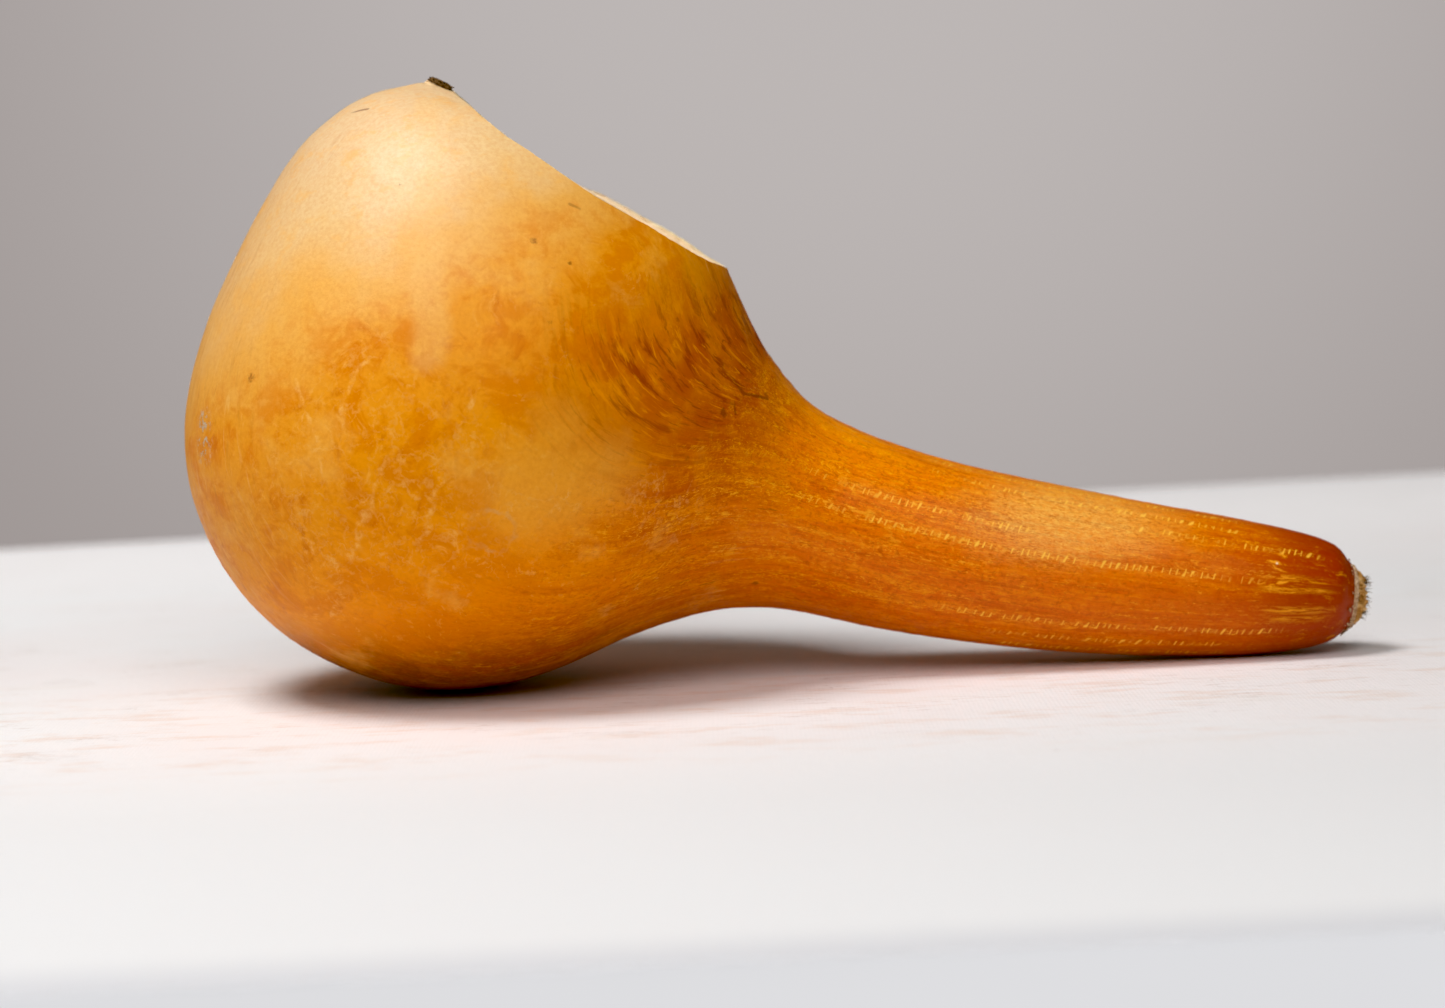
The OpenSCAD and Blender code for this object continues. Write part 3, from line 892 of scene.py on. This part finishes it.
def make_rind():
    around = 280
    turn = angles(around)
    outer_rows = station_rows(0, LAST, 1.60)
    inner_rows = station_rows(0, LAST, 7.0)

    station, angle, outer, normal = skin_grid(outer_rows, turn)
    outer_laid = straightened(station, angle)
    height = relief(outer, outer_laid, station)
    height = height * smooth(station / 0.5) * smooth((LAST - station) / 0.25)
    # A seat for the blossom scar, deeper on the -Y side.
    height = height - smooth((station - (LAST - 0.55)) / 0.55) * (0.45 - 0.35 * np.sin(angle))
    outer = outer + normal * height[..., None]

    inner_station, angle, inner, normal = skin_grid(inner_rows, turn)
    inner_laid = straightened(inner_station, angle)
    inner = inner - normal * rind_depth(inner_rows)[:, None, None]

    # The hole for the stub's root.
    hole = np.stack([STEM(ROOT_RADIUS + 0.05, 0.0, turn),
                     STEM(ROOT_RADIUS + 0.05, STEM.height_of(inner[0]), turn)])
    points = np.concatenate([outer, inner, hole]).reshape(-1, 3)
    inner_start = len(outer_rows) * around
    hole_start = inner_start + len(inner_rows) * around

    def strip(a, b):
        pairs = [(j, (j + 1) % around) for j in range(around)]
        return [[a + j, a + k, b + k, b + j] for j, k in pairs]
    faces = grid_faces(len(outer_rows), around, flip=True)
    faces += grid_faces(len(inner_rows), around, start=inner_start)
    faces += strip(0, hole_start)
    faces += strip(hole_start, hole_start + around)
    faces += strip(hole_start + around, inner_start)
    faces += strip(inner_start - around, hole_start - around)
    piece = new_object("gourd_rind", points, faces, SKIN, EDGE)
    mesh = piece.data
    set_attribute(mesh, "gc", "FLOAT_VECTOR", "vector", np.concatenate(
        [outer_laid, inner_laid, np.zeros((2, around, 3))]))
    set_attribute(mesh, "gt", "FLOAT", "value", np.concatenate(
        [station, inner_station, np.zeros((2, around))]))
    mesh.polygons.foreach_set(
        "material_index", [int(face.vertices[0] >= inner_start) for face in mesh.polygons])
    slice_open(piece, rim_cuts=3, rough=0.10, seed=5)
    return piece


def make_lining():
    around = 200
    inner_rows = station_rows(THROAT, LAST, 2.6)
    outer_rows = station_rows(THROAT, LAST, 8.0)
    station, _, inner, normal = skin_grid(inner_rows, angles(around))
    x, y, z = np.moveaxis(inner, -1, 0)
    rough = (0.34 * MEDIUM(inner / 9) + 0.22 * FINE(inner / 3.6)
             + 0.3 * BROAD(stack(x / 30, y / 5, z / 30)))
    rough *= smooth((station - THROAT) / 0.4)
    inner = inner + normal * (-(RIND + LINING) + rough * 0.8 - 0.1)[..., None]
    _, _, outer, normal = skin_grid(outer_rows, angles(around))
    outer = outer - normal * (RIND + 0.02)
    start = len(inner_rows) * around
    end = start + len(outer_rows) * around
    faces = grid_faces(len(inner_rows), around)
    faces += grid_faces(len(outer_rows), around, start=start, flip=True)
    faces.append(list(range(start - around, start)))
    faces.append(list(range(end - around, end))[::-1])
    faces += [[j, start + j, start + (j + 1) % around, (j + 1) % around] for j in range(around)]
    piece = new_object("bowl_lining", np.concatenate([inner, outer]).reshape(-1, 3), faces,
                       PITH, PITH_CUT)
    slice_open(piece, rim_cuts=6, rough=0.16, seed=9)
    return piece


def make_plug():
    """Dry pith in the neck: the root's socket at one end, a torn, dished face at the other."""
    around, face_rows, dish = 180, 46, 9
    turn = angles(around)
    rows = station_rows(0, THROAT, 5.0)
    _, _, wall, normal = skin_grid(rows, turn)
    wall = wall - normal * (rind_depth(rows) + 0.03)[:, None, None]
    mouth = surface(THROAT, turn) - outward(THROAT, turn) * (RIND + LINING)
    middle = mouth.mean(0)
    stemward = (surface(THROAT - 1, 0.0) + surface(THROAT - 1, math.pi)
                - (surface(THROAT, 0.0) + surface(THROAT, math.pi)))
    stemward = stemward / np.linalg.norm(stemward)
    bend = np.radians(np.linspace(0, 88, face_rows))[:, None, None]
    face = middle + np.cos(bend) * (mouth - middle) + dish * np.sin(bend) * stemward
    torn = smooth(np.linspace(0, 1, face_rows) * 5)[:, None]
    rough = (0.9 * BROAD(face / 11) + 0.6 * MEDIUM(face / 4.2) + 0.25 * FINE(face / 1.7)) * torn
    face = face + (rough - 0.9 * torn)[..., None] * stemward
    socket = np.stack([STEM(ROOT_RADIUS + 0.06, -6.06, turn),
                       STEM(ROOT_RADIUS + 0.06, STEM.height_of(wall[0]), turn)])
    grid = np.concatenate([socket, wall, face])
    count = len(grid) * around
    points = np.vstack([grid.reshape(-1, 3), socket[0].mean(0), face[-1].mean(0)])
    faces = grid_faces(len(grid), around) + fan(0, around, count)
    faces += fan(count - around, around, count + 1, flip=True)
    piece = new_object("neck_pith_plug", points, faces, PITH_DEEP)
    face_outward(piece.data)
    return piece


# ------------------------------------------------------------ turned and scattered parts
def resample(outline, step):
    points = np.array(outline, float)
    result = [points[0]]
    for a, b in zip(points[:-1], points[1:]):
        count = max(1, int(math.ceil(np.linalg.norm(b - a) / step)))
        result += [a + (b - a) * (k + 1) / count for k in range(count)]
    return np.array(result)


def revolve(outline, around, shape):
    """Radius, height and angle of an outline turned round and roughened by shape."""
    radius, angle = np.meshgrid(outline[:, 0], angles(around), indexing="ij")
    height = np.repeat(outline[:, 1:], around, axis=1)
    return *shape(radius, height, angle), angle


def turned(name, outline, around, place, step, shape, material):
    """A closed solid; the outline is (radius, height) and runs from axis to axis."""
    outline = resample(outline, step)[1:-1]
    radius, height, angle = revolve(outline, around, shape)
    count = len(outline) * around
    points = np.vstack([place(radius, height, angle).reshape(-1, 3),
                        place(0, np.mean(height[0]), 0), place(0, np.mean(height[-1]), 0)])
    faces = grid_faces(len(outline), around, flip=True) + fan(0, around, count, flip=True)
    faces += fan(count - around, around, count + 1)
    piece = new_object(name, points, faces, material)
    face_outward(piece.data)
    return piece


def merge(piece, points, faces):
    """Adds more closed solids to an object's mesh."""
    old = piece.data
    old_points = np.array([v.co for v in old.vertices]) / MM
    start = len(old_points)
    faces = ([list(face.vertices) for face in old.polygons]
             + [[index + start for index in face] for face in faces])
    mesh = bpy.data.meshes.new(old.name)
    mesh.from_pydata((np.vstack([old_points, points]) * MM).tolist(), [], faces)
    for material in old.materials:
        mesh.materials.append(material)
    mesh.polygons.foreach_set("use_smooth", [True] * len(mesh.polygons))
    piece.data = mesh
    face_outward(mesh)


def tube(path, radii, sides=6):
    """A closed tapering tube along a path."""
    path = np.array(path, float)
    direction = np.gradient(path, axis=0)
    direction /= np.linalg.norm(direction, axis=1, keepdims=True)
    reference = np.array([0.21, 0.93, 0.3])
    points = []
    for centre, forward, radius in zip(path, direction, radii):
        right = np.cross(forward, reference)
        right /= np.linalg.norm(right)
        up = np.cross(forward, right)
        points += [centre + radius * (math.cos(turn) * right + math.sin(turn) * up)
                   for turn in angles(sides)]
    end = len(points)
    faces = grid_faces(len(path), sides)
    faces += [list(range(sides))[::-1], list(range(end - sides, end))]
    return np.array(points), faces


def chip(centre, normal, along, size, thick, rng, sides=7):
    """A thin irregular flake lying on a surface, slightly curled."""
    normal = normal / np.linalg.norm(normal)
    along = along - (along @ normal) * normal
    along /= np.linalg.norm(along)
    across = np.cross(normal, along)
    turn = np.sort(rng.uniform(0, 2 * math.pi, sides) * 0.25 + angles(sides))
    radius = size * rng.uniform(0.55, 1.1, sides)
    ring = [(r * math.cos(a), r * 0.65 * math.sin(a)) for r, a in zip(radius, turn)]
    points, faces = [], []
    for level, scale in ((0.0, 1.0), (thick, 0.86)):
        points += [centre + x * scale * along + y * scale * across
                   + (level + 0.12 * (x * x + y * y) / max(size, 0.1)) * normal for x, y in ring]
    points += [centre, centre + thick * 1.15 * normal]
    for j in range(sides):
        k = (j + 1) % sides
        faces += [[j, k, sides + k, sides + j], [k, j, 2 * sides],
                  [sides + j, sides + k, 2 * sides + 1]]
    return np.array(points), faces


def gather(solids):
    points, faces, count = [], [], 0
    for solid_points, solid_faces in solids:
        points.append(solid_points)
        faces += [[index + count for index in face] for face in solid_faces]
        count += len(solid_points)
    return np.vstack(points), faces


def wrapped(angle, radius, third):
    """Noise coordinates that close up round an axis."""
    return stack(radius * np.cos(angle), radius * np.sin(angle), third)


def collar_shape(radius, height, angle):
    up = smooth(height / 0.5)
    noise = (BROAD(wrapped(angle, 4.0, height * 1.3)) * 0.22
             + MEDIUM(wrapped(angle, 12.8, height * 2.2)) * 0.12)
    rim = smooth((radius - 7.5) / 0.4)
    return radius + np.minimum(noise * 1.6 - 0.16, 0.0) * rim, height + (noise - 0.12) * up


# Pits in the stub's side: angle, height, half angle, half height, depth (mm, radians).
STUB_PITS = [(-1.45, 2.2, 0.13, 0.55, 1.6), (-0.95, 1.5, 0.10, 0.9, 0.9),
             (-2.0, 1.9, 0.22, 0.6, 0.9), (-2.35, 2.9, 0.09, 0.5, 0.9), (0.8, 2.0, 0.15, 0.6, 1.0),
             (1.9, 1.6, 0.2, 0.7, 0.9), (2.9, 2.2, 0.15, 0.6, 1.0)]


def stub_shape(radius, height, angle):
    side = smooth((height - 0.05) / 0.6) * smooth((radius - 4.6) / 0.8)
    ridges = (BROAD(wrapped(angle, 3.1, height * 0.16 + 2)) * 0.50
              + MEDIUM(wrapped(angle, 8.06, height * 0.3)) * 0.26
              + FINE(wrapped(angle, 21.7, height * 0.5)) * 0.12)
    crack = -0.55 * np.exp(-(STREAKS(wrapped(angle, 5.27, height * 0.12 + 4)) / 0.10) ** 2)
    pits = 0 * radius
    for pit_angle, pit_height, half_angle, half_height, depth in STUB_PITS:
        turn = (angle - pit_angle + math.pi) % (2 * math.pi) - math.pi
        pits = np.maximum(pits, depth * np.exp(
            -(turn / half_angle) ** 2 - ((height - pit_height) / half_height) ** 2))
    out = (np.minimum(ridges * 1.25 - 0.26 + crack * 0.8, 0.06) - pits) * side
    top = smooth((height - 2.0) / 2.0) * smooth((radius - 2.9) / 0.5)
    jagged = (MEDIUM(wrapped(angle, 5.89, 8.0)) * 0.85
              + FINE(wrapped(angle, 18.6, radius * 0.8)) * 0.35)
    lift = (np.minimum(jagged * 1.1 - 0.30, 0.0) - 0.55 * smooth((np.cos(angle) - 0.15) / 0.4)
            - 0.45 * smooth((-0.5 - np.cos(angle)) / 0.4)) * top
    well = smooth((3.6 - radius) / 0.6) * smooth((height - 1.2) / 0.4)
    return radius + out - 0.15 * well * FINE(wrapped(angle, 9.3, height)), height + lift


def core_shape(radius, height, angle):
    up = smooth((height - 1.4) / 0.8)
    noise = (BROAD(wrapped(angle, radius * 0.9, 0.0)) * 0.5
             + MEDIUM(wrapped(angle, radius * 2.1, 0.0)) * 0.35)
    return radius * (1 - 0.05 * up), height + np.clip(noise, -0.7, 0.5) * up


def scar_shape(radius, height, angle):
    up = smooth((height + 0.2) / 0.5)
    noise = (BROAD(wrapped(angle, radius * 0.7, height)) * 0.5
             + MEDIUM(wrapped(angle, radius * 1.7, height * 1.4)) * 0.38
             + FINE(wrapped(angle, radius * 4, height * 3)) * 0.16)
    sunk = np.clip(noise - 0.12, -1.0, 0.0) * up * (0.4 + 0.6 * smooth((3.3 - radius) / 0.6))
    return radius * (1 + np.clip(noise - 0.1, -0.9, 0.0) * 0.30 * up), height + sunk


# Outlines: radius, height along the end's axis (mm).
COLLAR = [(7.45, 0.03), (8.4, 0.03), (8.3, 0.7), (7.95, 1.25), (7.45, 1.4)]
STUB = [(0, -5.9), (4.2, -5.9), (ROOT_RADIUS, -5.5), (ROOT_RADIUS, 0.03), (7.4, 0.03), (7.4, 1.2),
        (6.9, 2.36), (5.9, 3.7), (5.4, 4.3), (4.4, 4.1), (3.4, 3.8), (3.1, 1.3), (0, 1.3)]
CORE = [(0, 1.33), (2.85, 1.33), (2.9, 2.2), (2.1, 2.75), (1.1, 2.6), (0, 2.9)]
SCAR_BUTTON = [(0, -1.45), (3.3, -1.45), (3.3, -0.15), (3.0, 0.22), (2.4, 0.62), (1.5, 0.84),
               (0.7, 0.76), (0, 0.84)]


def make_collar():
    """A cork ring round the stub, with flakes on the skin, most of them underneath."""
    around, flakes, low_flakes = 300, 74, 46
    outline = resample(COLLAR + COLLAR[:1], 0.11)[:-1]
    points = STEM(*revolve(outline, around, collar_shape)).reshape(-1, 3)
    piece = new_object("stem_collar_cork", points,
                       grid_faces(len(outline), around, closed=True), CORK)
    rng = np.random.default_rng(71)
    solids = []
    for k in range(flakes):
        low = k < low_flakes
        angle = math.pi + rng.normal(0, 0.55) if low else rng.uniform(0, 2 * math.pi)
        station = abs(rng.normal(0, 0.42 if low else 0.2)) + 0.03
        normal = outward(station, angle)
        solids.append(chip(
            surface(station, angle) - normal * 0.04,
            normal=normal + rng.normal(0, 0.18, 3), along=rng.normal(0, 1, 3),
            size=rng.uniform(0.35, 0.95 if low else 0.6), thick=rng.uniform(0.1, 0.22), rng=rng))
    merge(piece, *gather(solids))
    return piece


def make_stub():
    return turned("stem_stub_wood", STUB, 320, STEM, 0.13, stub_shape, WOOD)


def make_core():
    return turned("stem_core_crumbs", CORE, 96, STEM, 0.12, core_shape, CRUMB)


def make_fibres():
    """Torn fibres standing on the stub's top."""
    rng = np.random.default_rng(29)
    base, rings = 2.7, 6
    solids = []
    for _ in range(104):
        angle = rng.uniform(0, 2 * math.pi)
        radius = rng.uniform(3.5, 5.25)
        lean = rng.normal(0.28, 0.30)
        twist = rng.normal(0, 0.35)
        tall = rng.uniform(0.5, 1.45) * (1.0 if rng.uniform() < 0.75 else 1.25)
        width = rng.uniform(0.07, 0.17)
        shares = [j / (rings - 1) for j in range(rings)]
        path = [STEM(radius + lean * share ** 1.6 * tall, base + (tall + 1.25) * share,
                     angle + twist * share * share / radius * 2) for share in shares]
        solids.append(tube(path, [width * (1 - 0.78 * share ** 1.5) for share in shares]))
    return new_object("stem_torn_fibres", *gather(solids), FIBRE)


def make_scar():
    """A cork button at the blossom end, with loose flakes."""
    piece = turned("blossom_scar_cork", SCAR_BUTTON, 180, BLOSSOM, 0.09, scar_shape, SCAR_CORK)
    rng = np.random.default_rng(43)
    solids = []
    for _ in range(26):
        angle, radius = rng.uniform(0, 2 * math.pi), rng.uniform(1.2, 3.1)
        height = 0.30 - 0.10 * (radius > 2.6)
        away = np.cos(angle) * BLOSSOM.up + np.sin(angle) * BLOSSOM.side
        solids.append(chip(
            BLOSSOM(radius, height, angle),
            normal=BLOSSOM.axis + away * rng.uniform(-0.5, 0.9), along=rng.normal(0, 1, 3),
            size=rng.uniform(0.35, 0.75), thick=rng.uniform(0.14, 0.3), rng=rng))
    merge(piece, *gather(solids))
    return piece


# What makes each piece, the CAD piece it stands for, and its slot.
for make, cad_piece, slot in (
        (make_rind, "rind", "rind"), (make_lining, "pith_lining", "pith"),
        (make_plug, "neck_pith", "pith"), (make_collar, "stem_collar", "stem_cork"),
        (make_stub, "stem_stub", "stem_wood"), (make_core, "stem_core", "stem_pith"),
        (make_fibres, "stem_fibres", "stem_wood"), (make_scar, "blossom_scar", "scar")):
    made = make()
    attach(made, "root")
    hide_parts(cad_piece)

# ------------------------------------------------------------ stage (m)
# The table's edges: y at x = 0, and how much y grows with x.
TABLE_BACK, TABLE_FRONT = (0.4480, 0.1216), (-0.3253, 0.0225)
TABLE_HALF = 1.2


def table_material():
    shader = Shader("table_top")
    place = shader.place_mm()
    x, y, _ = place.parts()
    base = shader.mix(place.noise(0.006, detail=3, rough=0.6).remap(0.4, 0.65),
                      srgb(244, 243, 243), srgb(243, 237, 236))
    clouds = place.stretch((0.4, 1, 1)).noise(0.05, detail=5, rough=0.6)
    # lip: distance back from the front edge; the top darkens along it as the painted shade of a
    # rounded edge.
    lip = y - (x * TABLE_FRONT[1] + TABLE_FRONT[0] * 1000)
    worn = place.stretch((0.35, 1, 1)).noise(0.10, detail=6, rough=0.68).fade(0.50, 0.66)
    worn = worn * (y.fade(-150, -95) * y.fade(40, -20))
    crack = abs(place.stretch((0.12, 1, 1)).noise(0.08, detail=5, rough=0.7) - 0.5)
    crack = crack.remap(0.006, 0.0015) * (
        y.remap(-120, -80) * place.noise(0.03, detail=2).remap(0.5, 0.6))
    speck = place.stretch((0.6, 1, 1)).voronoi(0.035)
    chance = place.stretch((0.6, 1, 1)).voronoi(0.035, output="Color").parts()[0]
    speck = speck.fade(0.028, 0.010) * (chance.calc("GREATER_THAN", 0.80) * 0.6)
    # Coats on the table top: its own mottling, wear, cracks and specks; paler towards the back
    # (painted light); a little darker towards the front; darker along the front edge (painted
    # shade of a rounded edge).
    for mask, colour in ((clouds.remap(0.55, 0.75, high=0.4), (236, 229, 222)),
                         (y.fade(60, 520), (252, 249, 249)),
                         (y.remap(-60, -190, high=0.9), (233, 232, 232)) if False else
                         (y.fade(-60, -190, high=0.9), (233, 232, 232)),
                         (lip.fade(26, 0, high=0.85), (212, 212, 216)),
                         (worn * 0.50, (232, 210, 196)), (crack * 0.5, (176, 150, 134)),
                         (speck, (120, 92, 78))):
        base = shader.mix(mask, base, srgb(*colour))
    weave = (x * 6.0).calc("SINE") * 0.5 + (y * 5.0).calc("SINE") * 0.5
    height = weave * 0.05 + place.noise(0.25, detail=5, rough=0.65)
    # The faint glow towards the back of the table is painted light.
    return shader.finish(Base_Color=base, Roughness=0.8, Emission_Color=srgb(255, 250, 248),
                         Emission_Strength=y.fade(60, 420, high=0.17), Normal=height.bump(0.35))


def backdrop_material():
    shader = Shader("backdrop", "Emission")
    # The backdrop glows brightest round one place and darkens away from it: a painted pool of
    # light.
    distance = shader.place_mm().distance((180, 2200, 420))
    return shader.finish(Color=shader.mix(distance.fade(150, 1150), srgb(189, 183, 182),
                                          srgb(158, 150, 149)))


def floor_material():
    shader = Shader("floor", "Emission")
    return shader.finish(Color=shader.mix(shader.place_mm().noise(0.003, detail=2),
                                          srgb(224, 224, 227), srgb(220, 220, 223)))


def panel(name, corners, material, lights_scene=True):
    mesh = bpy.data.meshes.new(name)
    mesh.from_pydata(corners, [], [(0, 1, 2, 3)])
    mesh.materials.append(material)
    piece = bpy.data.objects.new(name, mesh)
    bpy.context.scene.collection.objects.link(piece)
    if not lights_scene:
        piece.visible_diffuse = False
        piece.visible_glossy = False


panel("table", [(x, edge[0] + edge[1] * x, 0) for x, edge in (
    (-TABLE_HALF, TABLE_FRONT), (TABLE_HALF, TABLE_FRONT),
    (TABLE_HALF, TABLE_BACK), (-TABLE_HALF, TABLE_BACK))], table_material())
panel("backdrop", [(-6, 2.2, -2), (6, 2.2, -2), (6, 2.2, 4), (-6, 2.2, 4)],
      backdrop_material(), lights_scene=False)
panel("floor", [(-6, -4, -0.35), (6, -4, -0.35), (6, 4, -0.35), (-6, 4, -0.35)],
      floor_material(), lights_scene=False)


# ------------------------------------------------------------ lights and world
def area_light(name, location, target, size, power):
    light = bpy.data.lights.new(name, "AREA")
    light.energy = power
    light.shape = "RECTANGLE"
    light.size = light.size_y = size
    lamp = bpy.data.objects.new(name, light)
    lamp.location = location
    lamp.rotation_mode = "QUATERNION"
    lamp.rotation_quaternion = (Vector(target) - Vector(location)).to_track_quat("-Z", "Y")
    bpy.context.scene.collection.objects.link(lamp)


def make_world():
    """Lights the scene faintly and shows the camera a plain grey."""
    world = bpy.data.worlds.new("studio")
    bpy.context.scene.world = world
    world.use_nodes = True
    nodes, links = world.node_tree.nodes, world.node_tree.links
    sky = nodes["Background"]
    sky.inputs[0].default_value = (1.0, 0.965, 0.94, 1)
    sky.inputs["Strength"].default_value = 0.10
    seen = nodes.new("ShaderNodeBackground")
    seen.inputs[0].default_value = (*srgb(178, 172, 171), 1)
    ray = nodes.new("ShaderNodeLightPath")
    pick = nodes.new("ShaderNodeMixShader")
    links.new(ray.outputs["Is Camera Ray"], pick.inputs[0])
    links.new(sky.outputs[0], pick.inputs[1])
    links.new(seen.outputs[0], pick.inputs[2])
    links.new(pick.outputs[0], nodes["World Output"].inputs[0])


area_light("key", (-0.36, -0.22, 1.10), target=(0.03, 0, 0.05), size=0.42, power=9.8)
area_light("fill", (0.10, -1.25, 1.15), target=(0.05, 0, 0.06), size=1.1, power=12.5)
make_world()

# ------------------------------------------------------------ camera and render
ELEVATION, ROLL = math.radians(5.2), math.radians(2.42)
CAMERA_DISTANCE = 0.867
CAMERA_TARGET = Vector((0.0687, 0, 0.0444))
FOCUS = (0.05, -0.042, 0.07)


def make_camera():
    scene = bpy.context.scene
    lens = bpy.data.cameras.new("camera")
    lens.lens, lens.sensor_width = 85, 36
    camera = bpy.data.objects.new("camera", lens)
    forward = Vector((0, math.cos(ELEVATION), -math.sin(ELEVATION)))
    level_right = Vector((1, 0, 0))
    level_up = Vector((0, math.sin(ELEVATION), math.cos(ELEVATION)))
    right = level_right * math.cos(ROLL) - level_up * math.sin(ROLL)
    up = level_right * math.sin(ROLL) + level_up * math.cos(ROLL)
    pose = Matrix((right, up, -forward)).transposed().to_4x4()
    pose.translation = CAMERA_TARGET - forward * CAMERA_DISTANCE
    camera.matrix_world = pose
    scene.collection.objects.link(camera)
    scene.camera = camera
    focus = bpy.data.objects.new("focus", None)
    focus.location = FOCUS
    scene.collection.objects.link(focus)
    lens.dof.use_dof = True
    lens.dof.focus_object = focus
    lens.dof.aperture_fstop = 9


def set_render():
    scene = bpy.context.scene
    view = scene.view_settings
    view.view_transform = "Standard"
    view.look = "None"
    view.use_curve_mapping = True
    view.curve_mapping.black_level = (0.006, 0.006, 0.012)
    view.curve_mapping.update()
    scene.cycles.use_denoising = True
    scene.cycles.max_bounces = 8
    scene.cycles.diffuse_bounces = 4
    scene.cycles.caustics_reflective = False
    scene.cycles.caustics_refractive = False


make_camera()
set_render()
